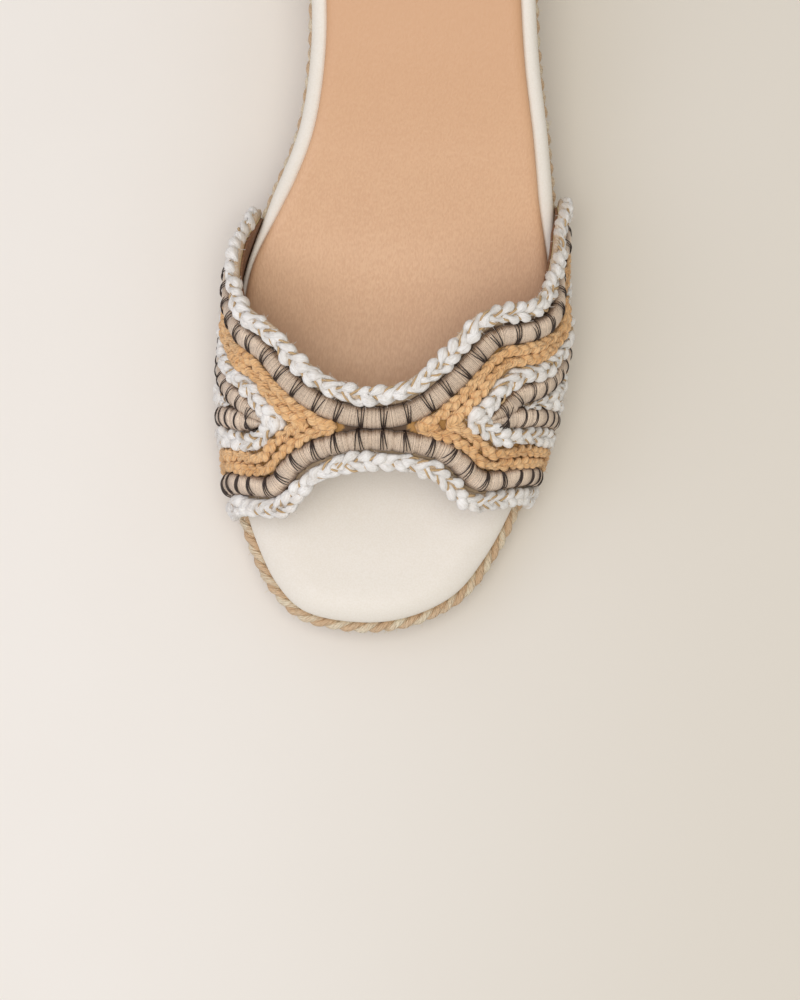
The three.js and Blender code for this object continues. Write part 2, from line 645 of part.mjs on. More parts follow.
// A raised strip along lines of the flat strap, which meet end to end at its corners.
function stripSolid({ strip, arms }) {
  const path = arms.flatMap((arm, k) => {
    const flat = rounded(arm.map((point) => new THREE.Vector3(point.x, point.y, 0)));
    const length = (flat.length - 1) * ROUNDING_STEP;
    const steps = Math.max(2, Math.round(length / CORD_STEP));
    return resample(flat, steps, CORD_TURN_WEIGHT).slice(k === 0 ? 0 : 1);
  });
  const rings = path.map((point, i) => {
    const arriving = point.clone().sub(path[Math.max(0, i - 1)]).normalize();
    const leaving = path[Math.min(path.length - 1, i + 1)].clone().sub(point).normalize();
    const run = arriving.clone().add(leaving).normalize();
    const mitre = i > 0 && i < path.length - 1 ? 1 / Math.max(1 / MITRE_LIMIT, run.dot(leaving)) : 1;
    const half = ((strip.width * fanAt(point.x / HALF_GIRTH) - CORD_SPACE) / 2) * mitre;
    const sideways = (offset) => new THREE.Vector2(point.x - run.y * offset, point.y + run.x * offset);
    return [
      overFoot(sideways(-half), STRAP_WALL - CORD_SUNK),
      overFoot(sideways(half), STRAP_WALL - CORD_SUNK),
      overFoot(sideways(half - CORD_SHOULDER), STRAP_WALL + CORD_HEIGHT),
      overFoot(sideways(CORD_SHOULDER - half), STRAP_WALL + CORD_HEIGHT),
    ];
  });
  return skin(rings);
}

// The strap as one solid. Slivers are smoothed away and a pocket sealed between two strips is filled.
function strap() {
  const joined = wasm.Manifold.union([strapWall(), ...stripLines().map(stripSolid)]);
  const skins = joined.asOriginal().simplify(SMOOTHING).decompose();
  return wasm.Manifold.compose(skins.filter((each) => each.volume() > 0));
}

const group = new THREE.Group();
const parts = {
  outsole: outsole(),
  rope_wedge: ropeWedge(),
  rope_trim: ropeTrim(),
  footbed: footbed(),
  insole_sock: insoleSock(),
  strap: strap(),
};
Object.entries(parts).forEach(([name, solid]) => {
  const mesh = new THREE.Mesh(geometryOf(solid), new THREE.MeshStandardMaterial(COLOURS[name]));
  mesh.name = name;
  group.add(mesh);
});

// The frame's origin: the middle of the shoe's box, on the floor.
const box = new THREE.Box3().setFromObject(group);
const middle = box.getCenter(new THREE.Vector3());
group.position.set(-middle.x, -middle.y, -box.min.z);

export default group;
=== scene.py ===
# %% [markdown]
# # A rope-soled slide with a corded strap
#
# One left sandal: a cream leather footbed with a tan sock, on a wedge wrapped in jute rope, with one
# strap of braids and satin cord over the ball of the foot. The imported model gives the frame, in
# metres. Every visible piece here is worked out from the shoe's own sizes, in millimetres, and then
# set into that frame.

# %% The frame
import math

import bmesh
import bpy
import numpy as np
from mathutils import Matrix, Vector


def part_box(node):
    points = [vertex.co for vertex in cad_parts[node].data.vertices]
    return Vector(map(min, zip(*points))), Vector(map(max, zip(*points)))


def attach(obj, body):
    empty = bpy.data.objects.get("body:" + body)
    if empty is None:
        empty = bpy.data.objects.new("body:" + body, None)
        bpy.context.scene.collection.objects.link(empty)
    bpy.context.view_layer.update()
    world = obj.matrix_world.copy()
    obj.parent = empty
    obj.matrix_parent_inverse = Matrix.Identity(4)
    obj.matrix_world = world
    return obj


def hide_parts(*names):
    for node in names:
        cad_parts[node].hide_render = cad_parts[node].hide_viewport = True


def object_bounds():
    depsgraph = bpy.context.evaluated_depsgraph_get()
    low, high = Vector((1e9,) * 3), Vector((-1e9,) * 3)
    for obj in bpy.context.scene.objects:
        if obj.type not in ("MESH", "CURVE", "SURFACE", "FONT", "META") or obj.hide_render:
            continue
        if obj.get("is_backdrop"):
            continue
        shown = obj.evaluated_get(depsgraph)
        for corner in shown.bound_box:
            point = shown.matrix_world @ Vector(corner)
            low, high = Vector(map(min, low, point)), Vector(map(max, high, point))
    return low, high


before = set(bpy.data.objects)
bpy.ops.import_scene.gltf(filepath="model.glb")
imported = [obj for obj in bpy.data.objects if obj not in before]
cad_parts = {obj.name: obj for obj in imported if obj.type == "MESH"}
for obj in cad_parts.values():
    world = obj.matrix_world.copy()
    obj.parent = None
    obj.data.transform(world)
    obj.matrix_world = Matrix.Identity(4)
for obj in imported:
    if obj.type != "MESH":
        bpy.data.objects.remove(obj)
CAD_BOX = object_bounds()
MM = 0.001
scene = bpy.context.scene
print("nodes", sorted(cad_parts), "box in mm", [round(1000 * s) for s in CAD_BOX[1] - CAD_BOX[0]])

# %% [markdown]
# ## The shoe's sizes
#
# The same named sizes as the solids have, so that each piece lies where its solid is.

# %% Sizes in millimetres
FOOTBED_LENGTH = 242
BALL_WIDTH = 90
FOOTBED_THICKNESS = 7
SOCK_THICKNESS = 1.4
SOCK_INSET = 4.2
SOCK_STRAP_INSET = 1.4
SOCK_FRONT = 58.1
RIM_NARROWS_OVER = 30
RIM_NARROWS_BEHIND = 6
OUTSOLE_THICKNESS = 3
OUTSOLE_INSET = 0.8
FOREFOOT_HEIGHT = 16
HEEL_RISE = 40
TOE_SPRING = 4
ARCH_HOLLOW = 1.6
ROPE_DIAMETER = 3.5
ROPE_LEDGE = 3.1
WEDGE_TAPER = 3.5
STRAP_WALL = 1.6
STRAP_HEIGHT = 46
STRAP_FROM_TOE = 56.4
STRAP_BACK_REACH = 55
STRAP_FRONT_REACH = 14.6
STRAP_SKEW = 3
PLAIT_WIDTH = 5.4
SATIN_WIDTH = 5.4
TAN_WIDTH = 6.4
GAP = 0.3
STRAP_GAP = 0.45
STRAP_WAIST = 2 * (PLAIT_WIDTH + SATIN_WIDTH)
SPREAD_HEIGHT = 9
STRIP_FAN_MEDIAL, STRIP_FAN_LATERAL = 0.12, -0.1
FAN_START = 0.4
TOE_SPRING_END, ARCH_START, ARCH_END = 0.16, 0.44, 0.72
TOE_TIP_SIDE, HEEL_TIP_SIDE = -0.03, 0.005


def table(columns, *rows):
    """A short table with named columns."""
    return dict(zip(columns.split(), np.array(rows, float).T))


OUTLINE = table(
    "at medial lateral",
    (0.01, 0.215, 0.125), (0.04, 0.306, 0.268), (0.085, 0.375, 0.357), (0.145, 0.435, 0.433),
    (0.215, 0.47, 0.495), (0.3, 0.482, 0.523), (0.4, 0.47, 0.527), (0.49, 0.4, 0.511),
    (0.58, 0.317, 0.475), (0.67, 0.292, 0.428), (0.76, 0.306, 0.396), (0.85, 0.333, 0.369),
    (0.925, 0.31, 0.322), (0.975, 0.215, 0.22),
)
WEDGE = table(
    "at rise ledge taper",
    (0, 0.06, 1, 0.15), (0.08, 0.02, 1, 0.1), (0.18, 0, 0.85, 0.1), (0.32, 0.015, 0.75, 0.15),
    (0.44, 0.16, 0.55, 0.3), (0.56, 0.43, 0.35, 0.55), (0.68, 0.72, 0.32, 0.8),
    (0.8, 0.92, 0.4, 0.95), (0.9, 0.99, 0.5, 1), (1, 1, 0.5, 1),
)
FOOT = table(
    "at height spread_medial spread_lateral crown fullness",
    (0.06, 0.78, 0, 0, 0.02, 2.3), (0.13, 0.84, 0, 0, 0.016, 2.3),
    (0.19, 0.93, 0.004, 0.004, 0.01, 2.4), (0.27, 1.06, 0.006, 0.016, -0.03, 2.5),
    (0.36, 1.16, 0.004, 0.018, -0.035, 2.9), (0.43, 1.22, 0.01, -0.02, -0.04, 3.1),
    (0.54, 1.3, 0.04, -0.014, -0.045, 3.1),
)
EDGES = table(
    "at back_medial back_lateral front_medial front_lateral",
    (0, 0, 0, 0, 0), (0.08, 0.01, 0.02, 0.02, 0.04), (0.15, 0.04, 0.1, 0.08, 0.07),
    (0.22, 0.09, 0.25, 0.19, 0.19), (0.29, 0.165, 0.4, 0.37, 0.47),
    (0.36, 0.27, 0.435, 0.72, 0.7), (0.43, 0.335, 0.447, 0.95, 0.78),
    (0.5, 0.375, 0.462, 0.96, 0.73), (0.58, 0.43, 0.495, 0.92, 0.67), (0.7, 0.56, 0.615, 0.9, 0.62),
    (0.85, 0.775, 0.81, 0.92, 0.65), (1, 0.96, 1, 0.95, 0.7),
)


def read(rows, column, at):
    """A column of a table as a smooth curve that never swings past its rows."""
    x, y = rows["at"], rows[column]
    at = np.clip(np.asarray(at, float), x[0], x[-1])
    step = np.diff(x)
    slope = np.diff(y) / step
    before, after = slope[:-1], slope[1:]
    same_way = before * after > 0
    tangent = np.zeros(len(x))
    tangent[1:-1][same_way] = (2 * before * after)[same_way] / (before + after)[same_way]
    i = np.clip(np.searchsorted(x, at) - 1, 0, len(x) - 2)
    t = (at - x[i]) / step[i]
    ends = y[i] * (1 + 2 * t) * (1 - t) ** 2 + y[i + 1] * t * t * (3 - 2 * t)
    return ends + step[i] * t * (1 - t) * (tangent[i] * (1 - t) - tangent[i + 1] * t)


def ease(value):
    value = np.clip(value, 0, 1)
    return value * value * (3 - 2 * value)


def resample(points, count):
    """Points along a line of points, evenly spaced by length."""
    run = np.r_[0, np.cumsum(np.linalg.norm(np.diff(points, axis=0), axis=1))]
    wanted = np.linspace(0, run[-1], count)
    return np.stack([np.interp(wanted, run, column) for column in points.T], axis=1)


def unit(vectors):
    return vectors / np.linalg.norm(vectors, axis=-1, keepdims=True)


# %% [markdown]
# ## The sole's outline and its heights
#
# A sole is cut to one outline. Each piece of it is that outline moved in or out, at a height that
# follows the wedge, so the pieces share one closed ring of points.

# %% Outline and heights
SIDE_STEPS = 210


def underside(y):
    return FOREFOOT_HEIGHT + HEEL_RISE * read(WEDGE, "rise", y / FOOTBED_LENGTH)


def footbed_top(y):
    return underside(y) + FOOTBED_THICKNESS


def sole_ring():
    """The outline: the toe's tip, the big-toe side, the heel's tip, the little-toe side."""
    side = np.r_[TOE_TIP_SIDE, -OUTLINE["medial"], HEEL_TIP_SIDE, OUTLINE["lateral"][::-1]]
    along = np.r_[0, OUTLINE["at"], 1, OUTLINE["at"][::-1]]
    knots = np.stack([side * BALL_WIDTH, along * FOOTBED_LENGTH], axis=1)
    p0, p1, p2, p3 = (np.roll(knots, -k, axis=0) for k in (-1, 0, 1, 2))
    d0, d1, d2 = (
        np.sqrt(np.linalg.norm(b - a, axis=1))[:, None] for a, b in ((p0, p1), (p1, p2), (p2, p3))
    )
    m1 = ((p1 - p0) / d0 - (p2 - p0) / (d0 + d1) + (p2 - p1) / d1) * d1
    m2 = ((p2 - p1) / d1 - (p3 - p1) / (d1 + d2) + (p3 - p2) / d2) * d1
    t = np.linspace(0, 1, 40, endpoint=False)[None, :, None]
    curve = (
        p1[:, None] * (1 + 2 * t) * (1 - t) ** 2
        + p2[:, None] * t * t * (3 - 2 * t)
        + m1[:, None] * t * (1 - t) ** 2
        - m2[:, None] * t * t * (1 - t)
    ).reshape(-1, 2)
    curve = np.c_[curve, underside(curve[:, 1])]
    heel = (len(OUTLINE["at"]) + 1) * 40
    medial = resample(curve[: heel + 1], SIDE_STEPS + 1)
    lateral = resample(np.r_[curve[heel:], curve[:1]], SIDE_STEPS + 1)
    return np.r_[medial[:-1], lateral[:-1]][:, :2]


RING = sole_ring()
OUTWARD = np.roll(RING, -1, axis=0) - np.roll(RING, 1, axis=0)
OUTWARD = unit(np.stack([-OUTWARD[:, 1], OUTWARD[:, 0]], axis=1))

# The frame's origin is the middle of the whole shoe's box, so the working origin is moved by what
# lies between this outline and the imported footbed.
footbed_low, footbed_high = (np.array(corner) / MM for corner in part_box("footbed"))
SHIFT = np.r_[(footbed_low + footbed_high)[:2] / 2 - (RING.min(0) + RING.max(0)) / 2, 0]
print("shift of the working origin in mm", SHIFT.round(2))


def ledge(y):
    return ROPE_LEDGE * read(WEDGE, "ledge", y / FOOTBED_LENGTH)


def taper(y):
    return WEDGE_TAPER * read(WEDGE, "taper", y / FOOTBED_LENGTH)


def floor_at(y):
    share = y / FOOTBED_LENGTH
    arch = np.clip((share - ARCH_START) / (ARCH_END - ARCH_START), 0, 1)
    toe = np.clip(1 - share / TOE_SPRING_END, 0, 1)
    return TOE_SPRING * toe**2 + ARCH_HOLLOW * np.sin(np.pi * arch) ** 2


def rope_reach(y, z):
    """How far the rope's outside stands out of the footbed's outline, at a height over the floor."""
    return ledge(y) - taper(y) * np.clip(1 - z / underside(y), 0, 1)


def wedge_foot(y):
    return floor_at(y) + OUTSOLE_THICKNESS + GAP


def trim_bottom(y):
    return underside(y) - GAP - ROPE_DIAMETER


def level(offset, height):
    """One level of a piece of the sole: the outline moved out, at a height along the shoe."""
    out = offset(RING[:, 1]) if callable(offset) else np.full(len(RING), float(offset))
    moved = RING + OUTWARD * out[:, None]
    return np.c_[moved, height(moved[:, 1])]


# %% [markdown]
# ## Meshes and node trees
#
# `make_mesh` turns working points into a piece in the frame. `add` makes one node, and `Field` lets
# sockets take part in ordinary sums, so that a formula in a node tree reads as a formula.

# %% Helpers
def in_frame(points):
    return (np.asarray(points, float) + SHIFT) * MM


def make_mesh(name, points, faces=(), edges=(), material=None, **attributes):
    """A piece from working points, with faces turned outward, and its named attributes."""
    mesh = bpy.data.meshes.new(name)
    mesh.from_pydata(in_frame(points).tolist(), [tuple(e) for e in edges], [tuple(f) for f in faces])
    if len(faces):
        form = bmesh.new()
        form.from_mesh(mesh)
        bmesh.ops.recalc_face_normals(form, faces=form.faces)
        form.to_mesh(mesh)
        form.free()
        mesh.shade_smooth()
    for key, values in attributes.items():
        kind = "FLOAT_VECTOR" if np.ndim(values) == 2 else "FLOAT"
        layer = mesh.attributes.new(key, kind, "POINT")
        layer.data.foreach_set("vector" if np.ndim(values) == 2 else "value", np.ravel(values))
    piece = bpy.data.objects.new(name, mesh)
    scene.collection.objects.link(piece)
    if material:
        mesh.materials.append(material)
    return piece


def plug(value, socket):
    if isinstance(value, Field):
        socket.id_data.links.new(value.socket, socket)
    elif value is not None:
        socket.default_value = value


def add(tree, kind, sockets=None, **properties):
    """Adds one node and gives its first output. Sockets are named or numbered, and take a value or a
    Field."""
    node = tree.nodes.new(kind)
    for key, value in properties.items():
        setattr(node, key, value)
    for key, value in (sockets or {}).items():
        plug(value, node.inputs[key])
    return Field(node) if len(node.outputs) else None


class Field:
    """A node's output that takes part in sums. Each sign adds one maths node to its tree. A name or
    number in brackets gives another output of the same node."""

    def __init__(self, node, output=0):
        self.node = node
        self.socket = node.outputs[output]
        self.is_vector = self.socket.type in ("VECTOR", "RGBA")

    def __getitem__(self, output):
        return Field(self.node, output)

    def join(self, operation, *others):
        tree = self.node.id_data
        node = tree.nodes.new("ShaderNodeVectorMath" if self.is_vector else "ShaderNodeMath")
        node.operation = operation
        plug(self, node.inputs[0])
        for place, other in enumerate(others, 1):
            plug(other, node.inputs["Scale" if operation == "SCALE" else place])
        return Field(node, "Value" if operation in ("DOT_PRODUCT", "LENGTH") else 0)

    def __add__(self, other):
        return self.join("ADD", other)

    def __sub__(self, other):
        return self.join("SUBTRACT", other)

    def __mul__(self, other):
        scaled = self.is_vector and not (isinstance(other, Field) and other.is_vector)
        return self.join("SCALE" if scaled else "MULTIPLY", other)

    def __rsub__(self, other):
        return self * -1 + other

    def __truediv__(self, other):
        return self.join("DIVIDE", other)

    def __pow__(self, other):
        return self.join("POWER", other)

    __radd__ = __add__
    __rmul__ = __mul__


def new_tree(name, sockets):
    """A Geometry Nodes tree with named inputs. Returns it, its inputs, and a finish that closes it."""
    tree = bpy.data.node_groups.new(name, "GeometryNodeTree")
    tree.is_modifier = True
    tree.interface.new_socket("Geometry", in_out="INPUT", socket_type="NodeSocketGeometry")
    tree.interface.new_socket("Geometry", in_out="OUTPUT", socket_type="NodeSocketGeometry")
    for label, value in {**sockets, "Material": None}.items():
        kind = {int: "Int", float: "Float", type(None): "Material"}[type(value)]
        socket = tree.interface.new_socket(label, in_out="INPUT", socket_type=f"NodeSocket{kind}")
        if value is not None:
            socket.default_value = value
    given = add(tree, "NodeGroupInput")

    def finish(shape):
        smooth = add(tree, "GeometryNodeSetShadeSmooth", {0: shape})
        real = add(tree, "GeometryNodeRealizeInstances", {0: smooth})
        painted = add(tree, "GeometryNodeSetMaterial", {0: real, "Material": given["Material"]})
        add(tree, "NodeGroupOutput", {0: painted})
        return tree

    return tree, given, finish


def grow(piece, tree, material, **inputs):
    """Runs a tree on a piece, with its inputs set by identifier, and keeps the result as a mesh."""
    modifier = piece.modifiers.new(tree.name, "NODES")
    modifier.node_group = tree
    wanted = {key.replace("_", " "): value for key, value in inputs.items()} | {"Material": material}
    for item in tree.interface.items_tree:
        if item.in_out == "INPUT" and item.name in wanted:
            modifier[item.identifier] = wanted.pop(item.name)
    assert not wanted, f"{tree.name} has no input {sorted(wanted)}"
    return plain(piece)


def plain(piece):
    """Turns a piece with modifiers into a plain mesh."""
    bpy.context.view_layer.update()
    ready = piece.evaluated_get(bpy.context.evaluated_depsgraph_get())
    mesh = bpy.data.meshes.new_from_object(ready)
    piece.modifiers.clear()
    piece.data = mesh
    mesh.name = piece.name
    print(f"{piece.name}: {sum(len(p.vertices) - 2 for p in mesh.polygons)} triangles")
    return piece


def stored(tree, shape, name, value, domain="POINT", kind="FLOAT"):
    sockets = {"Geometry": shape, "Name": name, "Value": value}
    return add(tree, "GeometryNodeStoreNamedAttribute", sockets, domain=domain, data_type=kind)


def named(tree, name, kind="FLOAT"):
    return add(tree, "GeometryNodeInputNamedAttribute", {"Name": name}, data_type=kind)


def position(tree):
    return add(tree, "GeometryNodeInputPosition")


def moved_by(tree, shape, offset):
    return add(tree, "GeometryNodeSetPosition", {"Geometry": shape, "Offset": offset})


def draw(tree, kind, lowest, highest, seed, identity=None):
    """A random value for each point. The node has its own sockets for each kind of value."""
    low = {"FLOAT_VECTOR": 0, "FLOAT": 2, "INT": 4}[kind]
    sockets = {low: lowest, low + 1: highest, "ID": identity, "Seed": seed}
    return add(tree, "FunctionNodeRandomValue", sockets, data_type=kind)[low // 2]


def turned_by(tree, rotation, turn):
    """A rotation turned further about its own axes."""
    return add(tree, "FunctionNodeRotateRotation", {0: rotation, 1: turn}, rotation_space="LOCAL")


def short_line(tree, end, count):
    """A straight curve from the origin, with so many points."""
    line = add(tree, "GeometryNodeCurvePrimitiveLine", {"Start": (0, 0, 0), "End": end})
    return add(tree, "GeometryNodeResampleCurve", {"Curve": line, "Count": count}, mode="COUNT")


def strands_of(tree, curve, count):
    """Copies of a curve, each with its number stored as strand."""
    sockets = {"Geometry": curve, "Amount": count}
    copies = add(tree, "GeometryNodeDuplicateElements", sockets, domain="SPLINE")
    return stored(tree, copies, "strand", copies["Duplicate Index"], "CURVE")


def tube(tree, curve, sides, radius):
    """A closed tube along a curve. Each point stores its place round the tube as round."""
    circle = add(tree, "GeometryNodeCurvePrimitiveCircle", {"Resolution": sides, "Radius": 1.0})
    outline = stored(tree, circle, "round", position(tree), kind="FLOAT_VECTOR")
    sockets = {"Curve": curve, "Profile Curve": outline, "Scale": radius, "Fill Caps": True}
    return add(tree, "GeometryNodeCurveToMesh", sockets)


def noise_4d(tree, where, w, scale, detail):
    sockets = {"Vector": where, "W": w, "Scale": scale, "Detail": detail}
    return add(tree, "ShaderNodeTexNoise", sockets, noise_dimensions="4D")["Fac"]


# %% [markdown]
# ## Materials
#
# Each material starts from the real thing: its colour as it looks in daylight, and the size of its
# grain, weave or fibre in millimetres. Colours are screen colours turned linear by one function.

# %% Materials
def colour(code):
    """A hex screen colour as linear red, green, blue and alpha."""
    parts = [int(code[i : i + 2], 16) / 255 for i in (1, 3, 5)]
    return tuple(c / 12.92 if c <= 0.04045 else ((c + 0.055) / 1.055) ** 2.4 for c in parts) + (1.0,)


def new_material(name, roughness, **settings):
    """A material with its own tree and shader. Numbers that don't vary go on the shader's sockets."""
    material = bpy.data.materials.new(name)
    material.use_nodes = True
    tree = material.node_tree
    shader = tree.nodes["Principled BSDF"]
    shader.inputs["Roughness"].default_value = roughness
    for key, value in settings.items():
        shader.inputs[key.replace("_", " ")].default_value = value
    return material, tree, shader


def noise(tree, where, size, detail=2.0, roughness=0.5, stretch=None):
    """Noise of a feature size in millimetres, in object space, from 0 to 1."""
    if stretch:
        where = add(tree, "ShaderNodeVectorMath", {0: where, 1: stretch}, operation="MULTIPLY")
    sockets = {"Vector": where, "Scale": 1 / (size * MM), "Detail": detail, "Roughness": roughness}
    return add(tree, "ShaderNodeTexNoise", sockets)["Fac"]


def mix(tree, factor, first, second):
    return add(tree, "ShaderNodeMix", {0: factor, 6: first, 7: second}, data_type="RGBA")[2]


def band(tree, value, low, high):
    """0 below low, 1 above high, smooth between."""
    sockets = {"Value": value, "From Min": low, "From Max": high}
    return add(tree, "ShaderNodeMapRange", sockets, interpolation_type="SMOOTHSTEP")


def bump(tree, shader, height, depth):
    """Relief of a depth in millimetres."""
    made = add(tree, "ShaderNodeBump", {"Height": height, "Distance": depth * MM})
    plug(made, shader.inputs["Normal"])


def place(tree):
    return add(tree, "ShaderNodeTexCoord")["Object"]


def attribute(tree, name, output="Fac"):
    return add(tree, "ShaderNodeAttribute", attribute_name=name)[output]


def split(tree, vector):
    """The x, y and z of a vector."""
    parts = add(tree, "ShaderNodeSeparateXYZ", {0: vector})
    return parts[0], parts[1], parts[2]


def leather(name, main, other, roughness, grain, depth, stretch=None, heel=None, **settings):
    """Finished leather: a fine grain, faint mottling, a roughness that varies with the grain, and
    perhaps painted shade, a deeper tone that comes in towards the heel."""
    material, tree, shader = new_material(name, roughness, **settings)
    where = place(tree)
    pebble = noise(tree, where, grain, 2.0, 0.5, stretch)
    mottle = noise(tree, where, 20, 2.0) * 0.2 + noise(tree, where, 2.2, 2.0) * 0.15 + pebble * 0.65
    base = mix(tree, band(tree, mottle, 0.36, 0.64), colour(main), colour(other))
    # Painted shade: heel darkens the colour towards the heel's end, where less light falls.
    if heel:
        _, along, _ = split(tree, where)
        base = mix(tree, band(tree, along, -0.03, 0.07), base, colour(heel))
    plug(base, shader.inputs["Base Color"])
    plug(pebble * 0.2 + (roughness - 0.1), shader.inputs["Roughness"])
    bump(tree, shader, pebble, depth)
    return material


def yarn(name, main, other, plies, lay, roughness=0.85, depth=0.12, by_strand=0.0,
         ply_depth=0.3, low=None, **settings):
    """Yarn along a swept strand. Its fibres run round it at a lay of so many millimetres a turn, and
    it may have painted shade, a deeper colour low on its sides, where it lies against the next strand."""
    material, tree, shader = new_material(name, roughness, **settings)
    along = attribute(tree, "along")
    x, y, _ = split(tree, attribute(tree, "round", "Vector"))
    angle = y.join("ARCTAN2", x)
    strand = attribute(tree, "strand")
    turned = angle + along * (math.tau / lay)
    twist = (turned * plies).join("SINE")
    sockets = {0: turned.join("COSINE") * 1.7 + strand * 7, 1: turned.join("SINE") * 1.7, 2: along * 0.28}
    across = add(tree, "ShaderNodeCombineXYZ", sockets)
    fibre = add(tree, "ShaderNodeTexNoise", {"Vector": across, "Scale": 3.0, "Detail": 3.0})["Fac"]
    patch = noise(tree, place(tree), 4.5, 1.0)
    share = band(tree, fibre * 0.6 + patch * 0.4 + strand * by_strand, 0.35, 0.7)
    base = mix(tree, share, colour(main), colour(other))
    # Painted shade: low darkens the strand's colour down its flanks, where it lies against the next strand.
    if low:
        base = mix(tree, band(tree, attribute(tree, "crest"), 0.6, -0.3) * 0.65, base, colour(low))
    plug(base, shader.inputs["Base Color"])
    fluff = noise(tree, place(tree), 0.5, 3.0, 0.75)
    bump(tree, shader, twist * ply_depth + fibre + fluff * 0.8, depth)
    return material


cream_leather = leather("cream_leather", "#E7E1D7", "#E3DCD0", 0.5, 0.5, 0.035, Coat_Weight=0.05)
# The tan sock's last colour is painted shade towards the heel.
tan_leather = leather("tan_leather", "#E2B993", "#D8AD89", 0.5, 0.5, 0.11, (1.0, 0.33, 1.0), "#D0A27B")
lining_leather = leather("lining_leather", "#8A6346", "#6F4D36", 0.6, 0.6, 0.04)
# The white and mustard yarns' low colours are painted shade on their flanks.
white_yarn = yarn(
    "white_yarn", "#FFFDFA", "#EBE4DB", 5, 26.0, 0.9, 0.45, ply_depth=0.1, low="#D2C6B4", Sheen_Weight=0.5
)
core_yarn = yarn("core_yarn", "#C3A47C", "#E2D8CB", 5, 6.0, 0.9, 0.2)
mustard_yarn = yarn(
    "mustard_yarn", "#FBD09A", "#E3AC6E", 4, 5.0, 0.8, 0.3, ply_depth=0.55, low="#CE9F66", Sheen_Weight=0.15
)
gold_thread = yarn("gold_thread", "#CBAE84", "#AE8C60", 3, 1.5, 0.6, 0.05)
dark_thread = yarn("dark_thread", "#2B1D18", "#3D2D25", 3, 1.2, 0.5, 0.04)
jute = yarn("jute", "#F0E6CD", "#D9B995", 6, 9.0, 0.9, 0.4, by_strand=0.18)


def satin_wrap():
    """Silky thread wound tightly round a core, about three turns to the millimetre, with painted shade on
    its flanks and painted glints in its colour.
    """
    material, tree, shader = new_material(
        "satin_wrap", 0.32, Sheen_Weight=0.3, Metallic=0.25, Specular_IOR_Level=0.8
    )
    along = attribute(tree, "along")
    where = place(tree)
    waver = noise(tree, where, 1.2, 2.0)
    thread = (along * (math.tau / 0.34) + waver * 5.0).join("SINE")
    sockets = {"W": along * 3.0, "Scale": 1.0, "Detail": 1.0}
    row = add(tree, "ShaderNodeTexNoise", sockets, noise_dimensions="1D")["Fac"]
    # glint flecks the colour with painted glints of the silky thread, and adds to its relief.
    glint = noise(tree, where, 0.3, 1.0)
    # patchy is the threads' own random tone together with the painted glints.
    patchy = row * 0.45 + noise(tree, where, 6, 2.0) * 0.1 + glint * 0.35 + thread * 0.07
    # Painted shade: the cord's colour darkens down its flanks, away from its crest.
    painted_flank_shade = band(tree, attribute(tree, "crest"), 0.62, 0.12)
    share = band(tree, patchy, 0.4, 0.58) * 0.55 + painted_flank_shade * 0.75
    # The pale colour stands for the lit crest and the dark one for the painted shade on the flanks.
    plug(mix(tree, share, colour("#FFE7CD"), colour("#80592F")), shader.inputs["Base Color"])
    bump(tree, shader, thread * 0.6 + glint, 0.14)
    return material


def canvas_weave():
    """Natural cotton canvas, a plain weave of 0.55 mm threads. Under the cords it takes the colour of their
    fluff, darkened as painted shade.
    """
    material, tree, shader = new_material("canvas", 0.85)
    where = place(tree)
    x, y, z = split(tree, where)
    turns = math.tau / (0.55 * MM)
    weave = (y * turns).join("SINE") * ((z + x) * turns).join("SINE")
    share = band(tree, weave * 0.3 + noise(tree, where, 3), 0.2, 0.8)
    clean = mix(tree, share, colour("#C9B27E"), colour("#E0CFA2"))
    # Away from the strap's edges the canvas takes the colour under its strip: the cords' fluff and painted
    # shade.
    covered = band(tree, attribute(tree, "inset"), 0.3, 1.2)
    plug(mix(tree, covered, clean, attribute(tree, "under", "Vector")), shader.inputs["Base Color"])
    bump(tree, shader, weave, 0.08)
    return material


def crepe_rubber():
    """Gum rubber with a fine crumb and a few darker specks."""
    material, tree, shader = new_material("gum_rubber", 0.75)
    where = place(tree)
    crumb = noise(tree, where, 0.7, 3.0)
    specks = band(tree, noise(tree, where, 1.4, 2.0), 0.62, 0.72)
    base = mix(tree, crumb, colour("#B8946A"), colour("#A17F58"))
    plug(mix(tree, specks * 0.5, base, colour("#7E6042")), shader.inputs["Base Color"])
    bump(tree, shader, crumb, 0.12)
    return material


satin, canvas, rubber = satin_wrap(), canvas_weave(), crepe_rubber()

# %% [markdown]
# ## Sole pieces
#
# The outsole is moulded, the footbed is a board with foam and leather wrapped round it, and the sock
# is a thinner leather glued on top. Each is a stack of the outline's levels, closed by lids of bars
# across the shoe.

# %% Stacks of levels
PIECES = []


def keep(piece, slot, *nodes):
    """The piece rides on the one body and stands for its solids. Its slot is not used."""
    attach(piece, "root")
    if nodes:
        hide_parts(*nodes)
    PIECES.append(piece)
    return piece


def lid(start, ring, columns):
    """New points and faces that close a ring by bars across the shoe. The ring's own points have
    numbers from start, and new ones are numbered from after."""
    size = len(ring)
    half = size // 2
    share = np.linspace(0, 1, columns + 1)[1:-1, None]
    new = np.concatenate([ring[k] + (ring[size - k] - ring[k]) * share for k in range(1, half)])

    def faces(after):
        number = np.empty((half - 1, columns + 1), int)
        number[:, 0] = start + np.arange(1, half)
        number[:, -1] = start + size - np.arange(1, half)
        number[:, 1:-1] = after + np.arange(len(new)).reshape(half - 1, columns - 1)
        made = [
            (number[i, j], number[i, j + 1], number[i + 1, j + 1], number[i + 1, j])
            for i in range(half - 2)
            for j in range(columns)
        ]
        made += [(start, number[0, j + 1], number[0, j]) for j in range(columns)]
        made += [(start + half, number[-1, j], number[-1, j + 1]) for j in range(columns)]
        return made

    return new, faces


